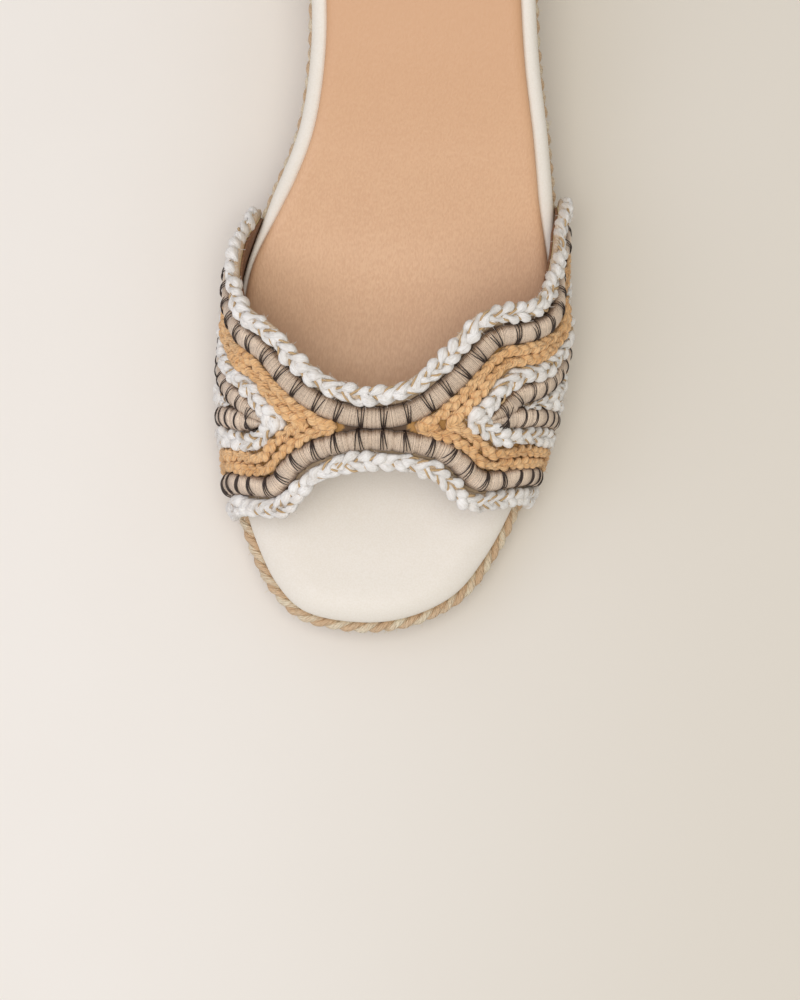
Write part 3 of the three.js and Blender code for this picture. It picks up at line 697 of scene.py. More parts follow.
def stack(name, levels, material, bottom_columns=6, top_columns=6, shape=None):
    """A closed piece from levels, lowest first."""
    size = len(levels[0])
    points = np.concatenate(levels)
    faces = []
    for r in range(len(levels) - 1):
        low, high = r * size, (r + 1) * size
        for i in range(size):
            j = (i + 1) % size
            faces.append((low + i, low + j, high + j, high + i))
    ends = (0, levels[0], bottom_columns), (len(points) - size, levels[-1], top_columns)
    for start, ring, columns in ends:
        new, faces_from = lid(start, ring, columns)
        faces += faces_from(len(points))
        points = np.concatenate([points, new])
    if shape:
        points = shape(points)
    return make_mesh(name, points, faces, material=material)


# %% [markdown]
# ## Outsole
#
# A thin gum-rubber sole with a small chamfer, a hollow arch and a little toe spring.

# %% Outsole
def outsole_rim(y):
    return rope_reach(y, floor_at(y)) - OUTSOLE_INSET


OUTSOLE_SIDE = table("inset height", (0.8, 0), (0.25, 0.25), (0, 0.8), (0, 2.6), (0.4, OUTSOLE_THICKNESS))
outsole_levels = [
    level(lambda y: outsole_rim(y) - inset, lambda y: floor_at(y) + height)
    for inset, height in zip(OUTSOLE_SIDE["inset"], OUTSOLE_SIDE["height"])
]
keep(stack("outsole_rubber", outsole_levels, rubber), "outsole", "outsole")

# %% [markdown]
# ## Footbed
#
# Behind the strap the wrapped edge stands as a narrow cream bead round the sock. In front of it the
# whole top is a soft pad whose edge rolls over about 8 mm, so the edge's roll is blended along the
# shoe from one to the other, under the strap.

# %% Footbed
BEAD_ROLL, BEAD_DROP = 2.4, 3.0
PAD_ROLL, PAD_DROP = 9.0, 3.6
GROOVE_END = 4.9
RIM_NARROWS = STRAP_FROM_TOE + STRAP_WAIST / 2 + STRAP_BACK_REACH + RIM_NARROWS_BEHIND


def padded_share(y):
    return ease((SOCK_FRONT + 6 - y) / 14)


def sock_inset(y):
    """The cream rim beside the sock narrows as it runs in under the strap's wings."""
    opened = ease(1 - (RIM_NARROWS - y) / RIM_NARROWS_OVER)
    return SOCK_STRAP_INSET + (SOCK_INSET - SOCK_STRAP_INSET) * opened


def rim_share(y):
    """How wide the rim is here, as a share of its full width. It is full again ahead of the sock."""
    ahead = ease((SOCK_FRONT + RIM_NARROWS_OVER / 2 - y) / RIM_NARROWS_OVER)
    return np.maximum(sock_inset(y) / SOCK_INSET, ahead)


def rim_inset(inset, y):
    """An inset drawn together with the rim, up to its groove. One beyond only moves with it."""
    return inset - min(inset, GROOVE_END) * (1 - rim_share(y))


def pad_height(inset, y):
    """How far the footbed's top lies below its full height, at a distance in from its outline."""
    pad = padded_share(y)
    roll = BEAD_ROLL + (PAD_ROLL - BEAD_ROLL) * pad
    drop = (BEAD_DROP + (PAD_DROP - BEAD_DROP) * pad) * rim_share(y)
    share = np.clip(1 - inset / roll, 0, 1)
    groove = 0.55 * np.exp(-(((inset - SOCK_INSET - 0.1) / 0.45) ** 2)) * (1 - pad)
    return -drop * (1 - np.sqrt(1 - share**2.2)) - groove


CREASES = table(
    "at side along turn length width depth",
    (0, 32.5, 24, 25, 12, 1.1, 0.16), (0, 35.0, 27, 22, 10, 0.9, 0.14), (0, 29.5, 20, 30, 9, 1.0, 0.1),
    (0, -15.0, 78, 60, 13, 1.2, 0.12), (0, -9.0, 74, 75, 15, 1.3, 0.12), (0, -3.0, 72.5, 88, 12, 1.1, 0.1),
    (0, -21.0, 84, 40, 12, 1.2, 0.1),
)


def creased(points):
    """Points with the leather's few soft creases pressed into them."""
    for side, along, turn, length, width, depth in zip(*(CREASES[k] for k in list(CREASES)[1:])):
        run = np.array([math.cos(math.radians(turn)), math.sin(math.radians(turn))])
        offset = points[:, :2] - (side, along)
        by_length = offset @ run
        by_width = offset @ (-run[1], run[0]) + 0.02 * by_length**2
        form = np.exp(-((by_length / length * 2) ** 2)) * np.exp(-((by_width / width) ** 2))
        points[:, 2] -= depth * form * (points[:, 2] > underside(points[:, 1]) + 4)
    return points


insets = [
    0, 0.1, 0.3, 0.6, 1.0, 1.5, 2.1, 2.8, 3.4, 3.8, 4.05, 4.3, 4.55, GROOVE_END, 5.6, 6.6, 7.8, 9.2, 11
]
FOOTBED_SIDE = table("out height", (-1, 0), (-0.5, 0.15), (-0.1, 0.6), (0, 1.2), (0.05, 2.2))
footbed_levels = [
    level(out, lambda y: underside(y) + height)
    for out, height in zip(FOOTBED_SIDE["out"], FOOTBED_SIDE["height"])
]
footbed_levels += [
    level(lambda y: -rim_inset(inset, y), lambda y: footbed_top(y) + pad_height(inset, y))
    for inset in insets
]
footbed = stack("footbed_leather", footbed_levels, cream_leather, top_columns=60, shape=creased)
keep(footbed, "footbed", "footbed")

# %% [markdown]
# ## Insole sock
#
# Thin tan leather whose edge is tucked down into the groove beside the bead. Its middle is pressed
# very slightly hollow by the heel and the ball.

# %% Insole sock
SOCK_COLUMNS = 90
SOCK_TUCK = 2.6


def sock():
    """Rows across the shoe, with a few points in from each edge for its roll. The last rows close the
    heel's end."""
    start = np.flatnonzero(RING[: SIDE_STEPS + 1, 1] > SOCK_FRONT - 2)[0]
    inset_rings = [
        RING - OUTWARD * (sock_inset(RING[:, 1]) + beyond)[:, None] for beyond in (0, 0.15, 0.6, 1.4, 3)
    ]
    edge = inset_rings[0]
    inner_share = np.linspace(0, 1, SOCK_COLUMNS + 1)[1:-1, None]
    rows = []
    for k in range(start, SIDE_STEPS):
        lefts = np.array([ring[k] for ring in inset_rings])
        rights = np.array([ring[-k] for ring in inset_rings])
        inner = lefts[-1] + (rights[-1] - lefts[-1]) * inner_share
        rows.append(np.concatenate([lefts, inner, rights[::-1]]))
    last = rows[-1]
    across = np.linspace(0, 1, len(last))
    heel_end = np.stack(
        [np.interp(across, (0, 0.5, 1), (last[0][k], edge[SIDE_STEPS][k], last[-1][k])) for k in (0, 1)],
        axis=1,
    )
    rows += [last + (heel_end - last) * part for part in (0.3, 0.6, 0.8, 0.9, 0.97, 1)]
    grid = np.array(rows)
    y = grid[..., 1]
    depth_in = np.min([np.hypot(*np.moveaxis(grid - point, -1, 0)) for point in edge], axis=0)
    tuck = 1 - np.sqrt(1 - np.clip(1 - depth_in / SOCK_TUCK, 0, 1) ** 2)
    hollow = 0.5 * np.exp(-(((y - 205) / 30) ** 2)) + 0.3 * np.exp(-(((y - 80) / 30) ** 2))
    middle = np.sin(np.pi * np.linspace(0, 1, grid.shape[1]))[None, :] ** 2
    top = footbed_top(y) + GAP + SOCK_THICKNESS - (SOCK_THICKNESS + 0.3) * tuck - hollow * middle
    low = footbed_top(y) - 0.3 - 0.4 * (tuck > 0.5)
    wide = grid.shape[1]
    upper = creased(np.c_[grid.reshape(-1, 2), top.ravel()])
    lower = np.c_[grid.reshape(-1, 2), low.ravel()]
    return shell("insole_leather", upper, lower, len(grid), wide, tan_leather)


def shell(name, outer, inner, tall, wide, material, **attributes):
    """A closed piece between two grids of points."""
    count = tall * wide
    number = np.arange(count).reshape(tall, wide)
    quads = np.stack([number[:-1, :-1], number[:-1, 1:], number[1:, 1:], number[1:, :-1]], axis=-1)
    quads = quads.reshape(-1, 4)
    rim = np.r_[number[0, :-1], number[:-1, -1], number[-1, :0:-1], number[:0:-1, 0]]
    next_rim = np.roll(rim, -1)
    sides = np.stack([rim, next_rim, next_rim + count, rim + count], axis=1)
    faces = np.concatenate([quads, quads[:, ::-1] + count, sides])
    return make_mesh(
        name, np.concatenate([outer, inner]), faces.tolist(), material=material, **attributes
    )


keep(sock(), "insole_sock", "insole_sock")

# %% [markdown]
# ## The strap as a surface
#
# The strap is a flat pattern laid over the foot. Here x is the girth from the foot's ridge and y the
# place along the shoe, and `over_foot` gives the point in space at a lift off the inside.

# %% Over the foot
ring_out = RING + OUTWARD * STRAP_GAP
MEDIAL_FOOT = ring_out[: SIDE_STEPS + 1]
LATERAL_FOOT = np.roll(ring_out[::-1], 1, axis=0)[: SIDE_STEPS + 1]


def arch_point(angle, y):
    """The arch of the foot at one place along the shoe, as a point at an angle round it."""
    share = y / FOOTBED_LENGTH
    side = np.where(np.cos(angle) < 0, -1, 1)
    bend = 2 / read(FOOT, "fullness", share)
    across = np.abs(np.cos(angle)) ** bend
    height = STRAP_HEIGHT * read(FOOT, "height", share) * np.abs(np.sin(angle)) ** bend
    medial = np.interp(y, MEDIAL_FOOT[:, 1], MEDIAL_FOOT[:, 0])
    lateral = np.interp(y, LATERAL_FOOT[:, 1], LATERAL_FOOT[:, 0])
    spreads = read(FOOT, "spread_medial", share), read(FOOT, "spread_lateral", share)
    spread = np.where(side < 0, *spreads) * BALL_WIDTH * ease((height - FOOTBED_THICKNESS) / SPREAD_HEIGHT)
    edge = np.where(side < 0, medial, lateral) + side * spread
    crown = read(FOOT, "crown", share) * BALL_WIDTH
    return np.stack([crown + (edge - crown) * across, y, underside(y) + height], axis=-1)


angles = np.linspace(math.pi / 2, 0, 61)
waist = arch_point(angles, np.full(61, float(STRAP_FROM_TOE)))
GIRTH = np.r_[0, np.cumsum(np.linalg.norm(np.diff(waist, axis=0), axis=1))]
HALF_GIRTH = GIRTH[-1]


def arch_angle(x):
    turn = np.interp(np.abs(x), GIRTH, np.linspace(0, math.pi / 2, 61))
    return math.pi / 2 - np.sign(x) * turn


def over_foot(flat, lift):
    """Points of the flat strap laid over the foot, and which way is out."""
    x, y = flat[..., 0], flat[..., 1]
    limit = HALF_GIRTH
    ahead, behind = np.clip(x + 0.5, -limit, limit), np.clip(x - 0.5, -limit, limit)
    across = arch_point(arch_angle(ahead), y) - arch_point(arch_angle(behind), y)
    along = arch_point(arch_angle(x), y + 0.5) - arch_point(arch_angle(x), y - 0.5)
    up = unit(np.cross(across, along))
    return arch_point(arch_angle(x), y) + up * np.asarray(lift)[..., None], up


def flat_edge(around, edge):
    """One edge of the flat strap at shares of the girth, which are negative on the medial side."""
    columns = read(EDGES, edge + "_medial", np.abs(around)), read(EDGES, edge + "_lateral", np.abs(around))
    share = np.where(around < 0, *columns)
    reach = STRAP_BACK_REACH if edge == "back" else STRAP_FRONT_REACH
    way = 1 if edge == "back" else -1
    y = STRAP_FROM_TOE + STRAP_SKEW * around + way * (STRAP_WAIST / 2 + reach * share)
    return np.stack([around * HALF_GIRTH, y], axis=-1)


print("half girth of the strap in mm", round(HALF_GIRTH, 1))

# %% [markdown]
# ## Lining and canvas
#
# A real strap is a canvas base that the cords are sewn to, with leather glued inside. They are two
# thin shells, one on the other. The canvas shows as a narrow edge beyond the braid.

# %% Lining and canvas
WALL_COLUMNS, WALL_ROWS = 200, 64
LINING = 0.8


def drawn_in(line, distance):
    """A line moved square to itself. Its ends stay at the strap's ends."""
    run = unit(np.gradient(line, axis=0))
    moved = line + np.stack([-run[:, 1], run[:, 0]], axis=1) * distance
    moved[[0, -1], 0] = line[[0, -1], 0]
    moved[:, 0] = np.maximum.accumulate(moved[:, 0])
    return np.c_[np.clip(moved[:, 0], line[0, 0], line[-1, 0]), moved[:, 1]]


def strap_shell(name, low, high, margin, material):
    """A layer of the strap, which knows the distance in from its nearer edge and the strip over it."""
    around = np.linspace(-1, 1, WALL_COLUMNS + 1)
    share = np.linspace(0, 1, WALL_ROWS + 1)[None, :, None]
    front = drawn_in(flat_edge(around, "front"), margin)
    back = drawn_in(flat_edge(around, "back"), -margin)
    flat = front[:, None] + (back - front)[:, None] * share
    breadth = np.linalg.norm(back - front, axis=-1)[:, None]
    inset = (breadth * np.minimum(share, 1 - share)[..., 0]).ravel()
    outer, _ = over_foot(flat, np.full(flat.shape[:2], high))
    inner, _ = over_foot(flat, np.full(flat.shape[:2], low))
    under = strip_colours(flat.reshape(-1, 2))
    return shell(
        name, outer.reshape(-1, 3), inner.reshape(-1, 3), WALL_COLUMNS + 1, WALL_ROWS + 1, material,
        inset=np.r_[inset, inset], under=np.r_[under, under],
    )

# %% [markdown]
# ## Where the cords run
#
# Each strip keeps its distance from the strap's edge. The outer two run right across. The others turn
# in a V beside the waist, one arm along the back edge and one along the front.

# %% Strip lines
EDGE_STEPS = 300
EDGE_OVERHANG = 0.6
LINE_STEP = 0.5
edge_around = np.linspace(-1, 1, EDGE_STEPS + 1)
EDGE_LINES = {edge: flat_edge(edge_around, edge) for edge in ("back", "front")}


def fan(x):
    most = np.where(x < 0, STRIP_FAN_MEDIAL, STRIP_FAN_LATERAL)
    return 1 + most * ease((np.abs(x) / HALF_GIRTH - FAN_START) / (1 - FAN_START))


def inset_line(edge, side, distance):
    """A line at a distance in from one edge, from the ridge outwards, without what a bend folds."""
    line = EDGE_LINES[edge]
    run = unit(np.gradient(line, axis=0))
    inset = distance * fan(line[:, 0]) * (-1 if edge == "back" else 1)
    moved = line + np.stack([-run[:, 1], run[:, 0]], axis=1) * inset[:, None]
    nearest = np.linalg.norm(moved[:, None] - line[None], axis=2).min(axis=1)
    sound = (nearest > np.abs(inset) * 0.985) & (moved[:, 0] * side >= 0)
    kept = moved[sound] if side > 0 else moved[sound][::-1]
    inside = kept[np.abs(kept[:, 0]) <= HALF_GIRTH]
    run = inside[-1] - inside[-2]
    return np.r_[inside, [inside[-1] + run * (side * HALF_GIRTH - inside[-1, 0]) / run[0]]]


def crossing(first, second):
    """Where two lines cross, as the two stretches' numbers and the point."""
    p, r = first[:-1, None], np.diff(first, axis=0)[:, None]
    q, s = second[None, :-1], np.diff(second, axis=0)[None]
    cross = lambda a, b: a[..., 0] * b[..., 1] - a[..., 1] * b[..., 0]
    area = cross(r, s)
    t, u = cross(q - p, s) / area, cross(q - p, r) / area
    found = np.argwhere((t >= 0) & (t <= 1) & (u >= 0) & (u <= 1))
    if not len(found):
        return None
    i, j = found[0]
    return i + 1, j + 1, first[i] + r[i, 0] * t[i, j]


def softened(line, passes):
    """A line at even steps with its bends rounded. Its two ends stay."""
    length = np.linalg.norm(np.diff(line, axis=0), axis=1).sum()
    line = resample(line, max(4, int(length / LINE_STEP)))
    for _ in range(passes):
        line[1:-1] = line[1:-1] * 0.5 + (line[:-2] + line[2:]) * 0.25
    return line


def across_line(edge, distance):
    medial, lateral = inset_line(edge, -1, distance), inset_line(edge, 1, distance)
    return softened(np.r_[medial[::-1], lateral[1:]], 60)


def turning_arms(side, distance):
    """The two arms of a V: down the back arm to its tip, and out along the front arm."""
    back, front = inset_line("back", side, distance), inset_line("front", side, distance)
    meet = crossing(back, front)
    if meet is None:
        return None
    i, j, point = meet
    return softened(np.r_[back[i:][::-1], [point]], 60), softened(np.r_[[point], front[j:]], 60)


def turning_line(side, distance, passes=5):
    """One line round the V. Its width grows at the tip, as a mitre's does, up to MITRE times."""
    arms = turning_arms(side, distance)
    if arms is None:
        return None
    line = softened(np.concatenate([arms[0], arms[1][1:]]), passes)
    from_tip = np.linalg.norm(line - line[np.argmin(np.abs(line[:, 0]))], axis=1)
    return line, fan(line[:, 0]) * (1 + (MITRE - 1) * np.exp(-((from_tip / MITRE_REACH) ** 2)))


def pointed_arm(arm, other):
    """An arm that runs on to the V's point, where it narrows to its outer side and meets the other."""
    towards, away = unit(arm[-1] - arm[-8]), unit(other[-8] - other[-1])
    half_angle = math.acos(np.clip(-towards @ away, -1, 1)) / 2
    reach = min(SATIN_WIDTH / 2 / math.tan(max(half_angle, 0.1)), POINT_REACH)
    outer = np.array([-towards[1], towards[0]])
    outer *= -np.sign(outer @ (other[-8] - arm[-1]))
    steps = int(reach / LINE_STEP) + 1
    line = np.r_[arm, arm[-1] + towards * np.linspace(LINE_STEP, reach, steps)[:, None]]
    before_point = np.linalg.norm(line - line[-1], axis=1)
    share = np.clip(1 - before_point / (2 * reach), 0, 1)
    moved = line + outer * (SATIN_WIDTH / 2 * share)[:, None]
    return moved, fan(line[:, 0]) * np.maximum(1 - share, 0.15)


def between_arms(side, distance):
    """A line up the middle between a V's arms, as wide as the space there, until whole strips fit."""
    back, front = inset_line("back", side, distance), inset_line("front", side, distance)
    out = np.arange(0, HALF_GIRTH, LINE_STEP)
    top, low = (np.interp(out, np.abs(line[:, 0]), line[:, 1]) for line in (back, front))
    half = (top - low) / 2
    fits = (half > 0.8) & (half < PLAIT_WIDTH * 0.65)
    line = softened(np.stack([side * out, (top + low) / 2], axis=1)[fits], 10)
    return line, np.interp(np.abs(line[:, 0]), out, half) * 2 / PLAIT_WIDTH, 0


MITRE, MITRE_REACH, POINT_REACH = 1.35, 3.0, 5.0
SIDES = (-1, 1)
RUNS = {"white": [], "satin": [], "mustard": []}
for edge in ("back", "front"):
    line = across_line(edge, PLAIT_WIDTH / 2 - EDGE_OVERHANG)
    RUNS["white"].append((line, np.maximum(fan(line[:, 0]), 1.0), 0))
for edge, outer in (("back", 1), ("front", -1)):
    line = across_line(edge, PLAIT_WIDTH + SATIN_WIDTH / 2 - EDGE_OVERHANG / 4)
    RUNS["satin"].append((line, fan(line[:, 0]), outer))
at = PLAIT_WIDTH + SATIN_WIDTH
for kind, width in (
    ("mustard", TAN_WIDTH), ("white", PLAIT_WIDTH), ("satin", SATIN_WIDTH),
    ("white", PLAIT_WIDTH), ("white", PLAIT_WIDTH),
):
    shares = (0.25, 0.75) if kind == "mustard" else (0.5,)
    for share in shares:
        for side in SIDES:
            distance = at + share * width
            made = turning_line(side, distance)
            if made and kind != "satin":
                RUNS[kind].append((*made, -side))
            elif made:
                back_arm, front_arm = turning_arms(side, distance)
                outward = front_arm[::-1]
                first, second = pointed_arm(back_arm, outward), pointed_arm(outward, back_arm)
                RUNS[kind] += [(*first, -side), (second[0][::-1], second[1][::-1], -side)]
    at += width
for side in SIDES:
    RUNS["white"].append(between_arms(side, at - 2 * PLAIT_WIDTH))
print({kind: [round(len(run[0]) * LINE_STEP) for run in runs] for kind, runs in RUNS.items()}, "mm")

# The colour under each kind of strip: its fluff, darkened as painted shade.
STRIP_FLUFF_AND_SHADE = {"white": "#B7A083", "satin": "#6A5543", "mustard": "#C2955A"}


def strip_colours(flat):
    """The colour of the fluff and shade under the nearest strip, as linear red, green and blue."""
    kinds, lines = zip(*((kind, run[0][::2]) for kind, runs in RUNS.items() for run in runs))
    nearest = np.stack(
        [np.min([np.hypot(*(flat - point).T) for point in line], axis=0) for line in lines], axis=1
    )
    return np.array([colour(STRIP_FLUFF_AND_SHADE[kind])[:3] for kind in kinds])[nearest.argmin(axis=1)]


keep(strap_shell("strap_lining", 0.0, LINING, 2.1, lining_leather), "strap")
keep(strap_shell("strap_canvas", LINING, STRAP_WALL, 1.8, canvas), "strap")


def path_piece(name, runs, lift=0.0):
    """A piece of edges along flat lines laid over the foot, which knows its up, side and width."""
    points, edges, ups, sides, fans = [], [], [], [], []
    for line, width, _ in runs:
        start = sum(len(p) for p in points)
        laid, up = over_foot(line, np.full(len(line), lift))
        run = unit(np.gradient(laid, axis=0))
        points.append(laid)
        ups.append(up)
        sides.append(unit(np.cross(up, run)))
        fans.append(width)
        edges += [(start + k, start + k + 1) for k in range(len(line) - 1)]
    return make_mesh(
        name, np.concatenate(points), edges=edges,
        up=np.concatenate(ups), side=np.concatenate(sides), fan=np.concatenate(fans),
    )


# %% [markdown]
# ## One tree for every cord
#
# A braid, a twisted rope and a wrapped cord are all strands that swing about a path. A strand swings
# sideways once a turn. In a rope it swings up and down once as well, a quarter turn later. In a flat
# three-strand braid it rises and dips twice, so that it passes over one neighbour and under the
# other. A wrapped cord has one strand that doesn't swing, and is pinched where it is stitched.

# %% The cord tree
def cord_tree():
    tree, given, finish = new_tree(
        "Cord",
        {
            "Strands": 3, "Spacing": 0.0005, "Period": 0.019, "Side Swing": 0.0014,
            "Height Swing": 0.0007, "Height Turns": 2.0, "Height Phase": 0.0, "Phase": 0.0,
            "Lift": 0.003, "Radius": 0.0012, "Bulge": 0.0, "Flatness": 0.0, "Pinch": 0.0,
            "Pinch Every": 0.0065, "Unevenness": 0.1, "Wander": 0.0, "Lump": 0.0, "Sides": 8, "Seed": 0,
        },
    )
    curve = add(tree, "GeometryNodeMeshToCurve", {0: given["Geometry"]})
    spaced = {"Curve": curve, "Length": given["Spacing"]}
    evenly = add(tree, "GeometryNodeResampleCurve", spaced, mode="LENGTH")
    strands = strands_of(tree, evenly, given["Strands"])
    factor = add(tree, "GeometryNodeSplineParameter")["Factor"]
    length = add(tree, "GeometryNodeSplineLength")["Length"]
    strand = named(tree, "strand")
    up, side = (named(tree, key, "FLOAT_VECTOR") for key in ("up", "side"))
    wide = named(tree, "fan")
    turns = (length / given["Period"]).join("ROUND").join("MAXIMUM", 1.0)
    angle = (factor * turns + strand / given["Strands"]) * math.tau + given["Phase"]
    sideways = angle.join("SINE") * given["Side Swing"] * wide
    over = (angle * given["Height Turns"] + given["Height Phase"]).join("SINE")
    uneven = noise_4d(tree, position(tree), strand * 3.7 + given["Seed"], 260.0, 1.0)
    stray = noise_4d(tree, position(tree), strand * 5.3 + given["Seed"] + 50.0, 190.0, 0.0)
    sideways = sideways + (stray - 0.5) * given["Wander"] * 4.0
    offset = side * sideways + up * (over * given["Height Swing"] + given["Lift"])
    moved = moved_by(tree, strands, offset)
    moved = stored(tree, moved, "along", factor * length * 1000.0)
    moved = stored(tree, moved, "centre", position(tree), kind="FLOAT_VECTOR")
    stitches = (length / given["Pinch Every"]).join("ROUND").join("MAXIMUM", 1.0)
    to_stitch = (factor * stitches * math.pi).join("COSINE")
    pinch = 1.0 - given["Pinch"] * (to_stitch * to_stitch * -14.0).join("EXPONENT")
    radius = given["Radius"] * wide * (1.0 + given["Bulge"] * over) * pinch
    radius = radius * (1.0 + (uneven - 0.5) * given["Unevenness"] * 2.0)
    from_centre = position(tree) - named(tree, "centre", "FLOAT_VECTOR")
    over_centre = from_centre.join("DOT_PRODUCT", up)
    pressed = up * (over_centre * given["Flatness"] * -1.0)
    flat = moved_by(tree, tube(tree, moved, given["Sides"], radius), pressed)
    flat = stored(tree, flat, "crest", over_centre / (given["Radius"] * wide))
    lump = noise_4d(tree, position(tree), strand * 2.1, 800.0, 1.0)
    lumps = add(tree, "GeometryNodeInputNormal") * ((lump - 0.5) * given["Lump"] * 2.0)
    return finish(moved_by(tree, flat, lumps))


CORD = cord_tree()

# %% [markdown]
# ## Braids on the strap
#
# White cotton slub in a three-strand plait about 13 mm a turn. Each strand swells where it comes over
# the others, so it shows as a row of puffy grains, with tan thread in the hollows between them. The
# mustard strips are two fine plaits side by side.

# %% Braids
def strap_cords(name, kind, material, nodes=(), **inputs):
    """The strips of one kind, grown along their lines on the strap."""
    lines = path_piece(name, RUNS[kind], STRAP_WALL)
    return keep(grow(lines, CORD, material, **inputs), "strap", *nodes)


STRAIGHT = dict(Strands=1, Side_Swing=0.0, Height_Swing=0.0)
strap_cords(
    "plait_cores", "white", core_yarn, Lift=0.0005, Radius=0.00225, Flatness=0.5, Unevenness=0.1,
    Sides=10, Spacing=0.001, Seed=2, **STRAIGHT,
)
white_plaits = strap_cords(
    "white_plaits", "white", white_yarn, ["strap"], Strands=3, Period=0.0132, Side_Swing=0.0017,
    Height_Swing=0.00085, Lift=0.00135, Radius=0.00106, Bulge=0.42, Unevenness=0.6, Wander=0.0006,
    Lump=0.0003, Sides=12, Spacing=0.0005, Seed=3,
)
strap_cords(
    "gold_threads", "white", gold_thread, Strands=3, Period=0.0132, Side_Swing=0.0019,
    Height_Swing=0.0007, Lift=0.0017, Phase=0.75, Radius=0.00033, Unevenness=0.3, Wander=0.0006,
    Sides=5, Spacing=0.0007, Seed=5,
)
mustard_plaits = strap_cords(
    "mustard_plaits", "mustard", mustard_yarn, Strands=3, Period=0.0106, Side_Swing=0.00092,
    Height_Swing=0.00065, Lift=0.0013, Radius=0.00084, Bulge=0.38, Unevenness=0.4, Wander=0.0003,
    Lump=0.00014, Sides=10, Spacing=0.0005, Seed=7,
)

# %% [markdown]
# ## Satin cords and their stitches
#
# Silky thread is wound round a soft core, and dark thread holds the cord down about every 6.5 mm. The
# cord is pinched there. Each stitch is two or three threads that open towards the strap's edge. Where
# a cord's two arms meet in a point, a star of the same thread pins them.

# %% Satin cords
STITCH_EVERY = 6.5
strap_cords(
    "satin_cords", "satin", satin, Lift=0.0011, Radius=0.00305, Flatness=0.38, Pinch=0.15,
    Pinch_Every=STITCH_EVERY * MM, Unevenness=0.07, Lump=0.00008, Sides=20, Spacing=0.0005, Seed=11,
    **STRAIGHT,
)
STITCH_VARIANTS = 4


def stitch_tree():
    tree, given, finish = new_tree(
        "Stitches",
        {
            "Threads": 3, "Open": 0.0012, "Close": 0.0001, "Half Width": 0.0027, "Height": 0.003,
            "Thread Radius": 0.00018, "Lean": 0.2, "Seed": 0,
        },
    )
    spaced = short_line(tree, (1, 0, 0), 14)
    factor = add(tree, "GeometryNodeSplineParameter")["Factor"]
    joined = add(tree, "GeometryNodeJoinGeometry")
    for variant in range(STITCH_VARIANTS):
        threads = strands_of(tree, spaced, given["Threads"])
        strand = named(tree, "strand")
        stray = draw(tree, "FLOAT", -0.5, 0.5, given["Seed"] + variant * 5.0, strand)
        spread = strand / (given["Threads"] - 1.0).join("MAXIMUM", 1.0) * 2.0 - 1.0 + stray
        angle = factor * math.pi
        run = spread * (given["Open"] * (1.0 - factor) + given["Close"] * factor)
        rise = angle.join("SINE").join("MAXIMUM", 0.0) ** 0.75 * given["Height"]
        across = angle.join("COSINE") * given["Half Width"]
        spot = add(tree, "ShaderNodeCombineXYZ", {0: run, 1: across, 2: rise})
        moved = add(tree, "GeometryNodeSetPosition", {"Geometry": threads, "Position": spot})
        moved = stored(tree, moved, "along", factor * 9.0)
        radius = given["Thread Radius"] * (factor * factor * 1.3 + 0.6)
        stitch = add(tree, "GeometryNodeGeometryToInstance", {0: tube(tree, moved, 5, radius)})
        plug(stitch, joined.node.inputs[0])
    turned = add(
        tree, "FunctionNodeAxesToRotation",
        {0: named(tree, "up", "FLOAT_VECTOR"), 1: named(tree, "run", "FLOAT_VECTOR")},
        primary_axis="Z", secondary_axis="X",
    )
    lean = draw(tree, "FLOAT", given["Lean"] * -1.0, given["Lean"], given["Seed"] + 9.0)
    spin = add(tree, "FunctionNodeAxisAngleToRotation", {"Axis": (0, 0, 1), "Angle": lean})
    placed = add(
        tree, "GeometryNodeInstanceOnPoints",
        {
            "Points": given["Geometry"], "Instance": joined, "Pick Instance": True,
            "Instance Index": draw(tree, "INT", 0, STITCH_VARIANTS - 1, given["Seed"]),
            "Rotation": turned_by(tree, turned, spin), "Scale": named(tree, "scale", "FLOAT_VECTOR"),
        },
    )
    return finish(placed)


STITCHES = stitch_tree()


def spot_piece(name, spots, ups, runs, scales):
    """Points that each know which way is up, the way along, and a size."""
    spots, ups, runs, scales = (np.concatenate(part) for part in (spots, ups, runs, scales))
    return make_mesh(name, spots, up=ups, run=runs, scale=np.repeat(scales[:, None], 3, axis=1))


def stitch_spots(name, runs, every):
    """Points where the cords are stitched. run is along the cord, turned so that +Y is outwards."""
    parts = []
    for line, width, outer in runs:
        full = width > 0.95 * fan(line[:, 0])
        laid, up = over_foot(line[full], np.full(full.sum(), STRAP_WALL))
        run = unit(np.gradient(laid, axis=0))
        reach = np.r_[0, np.cumsum(np.linalg.norm(np.diff(laid, axis=0), axis=1))]
        count = max(1, round(reach[-1] / every))
        chosen = [np.argmin(np.abs(reach - reach[-1] * (k + 0.5) / count)) for k in range(count)]
        parts.append((laid[chosen], up[chosen], run[chosen] * outer, width[full][chosen]))
    return spot_piece(name, *zip(*parts))


def pin_spots(name, runs, before_point):
    """A point on each pair of arms, a little before the tip that they share."""
    parts = []
    for (line, *_), (other, *_) in zip(runs[::2], runs[1::2]):
        back = int(before_point / LINE_STEP)
        spot = (line[-1 - back] + other[back]) / 2
        ahead = np.array([LINE_STEP, 0])
        laid, up = over_foot(np.array([spot - ahead, spot, spot + ahead]), np.full(3, STRAP_WALL))
        parts.append((laid[1:2], up[1:2], unit(laid[2:] - laid[:1]), np.ones(1)))
    return spot_piece(name, *zip(*parts))


def sew(spots, **inputs):
    keep(grow(spots, STITCHES, dark_thread, **inputs), "strap")


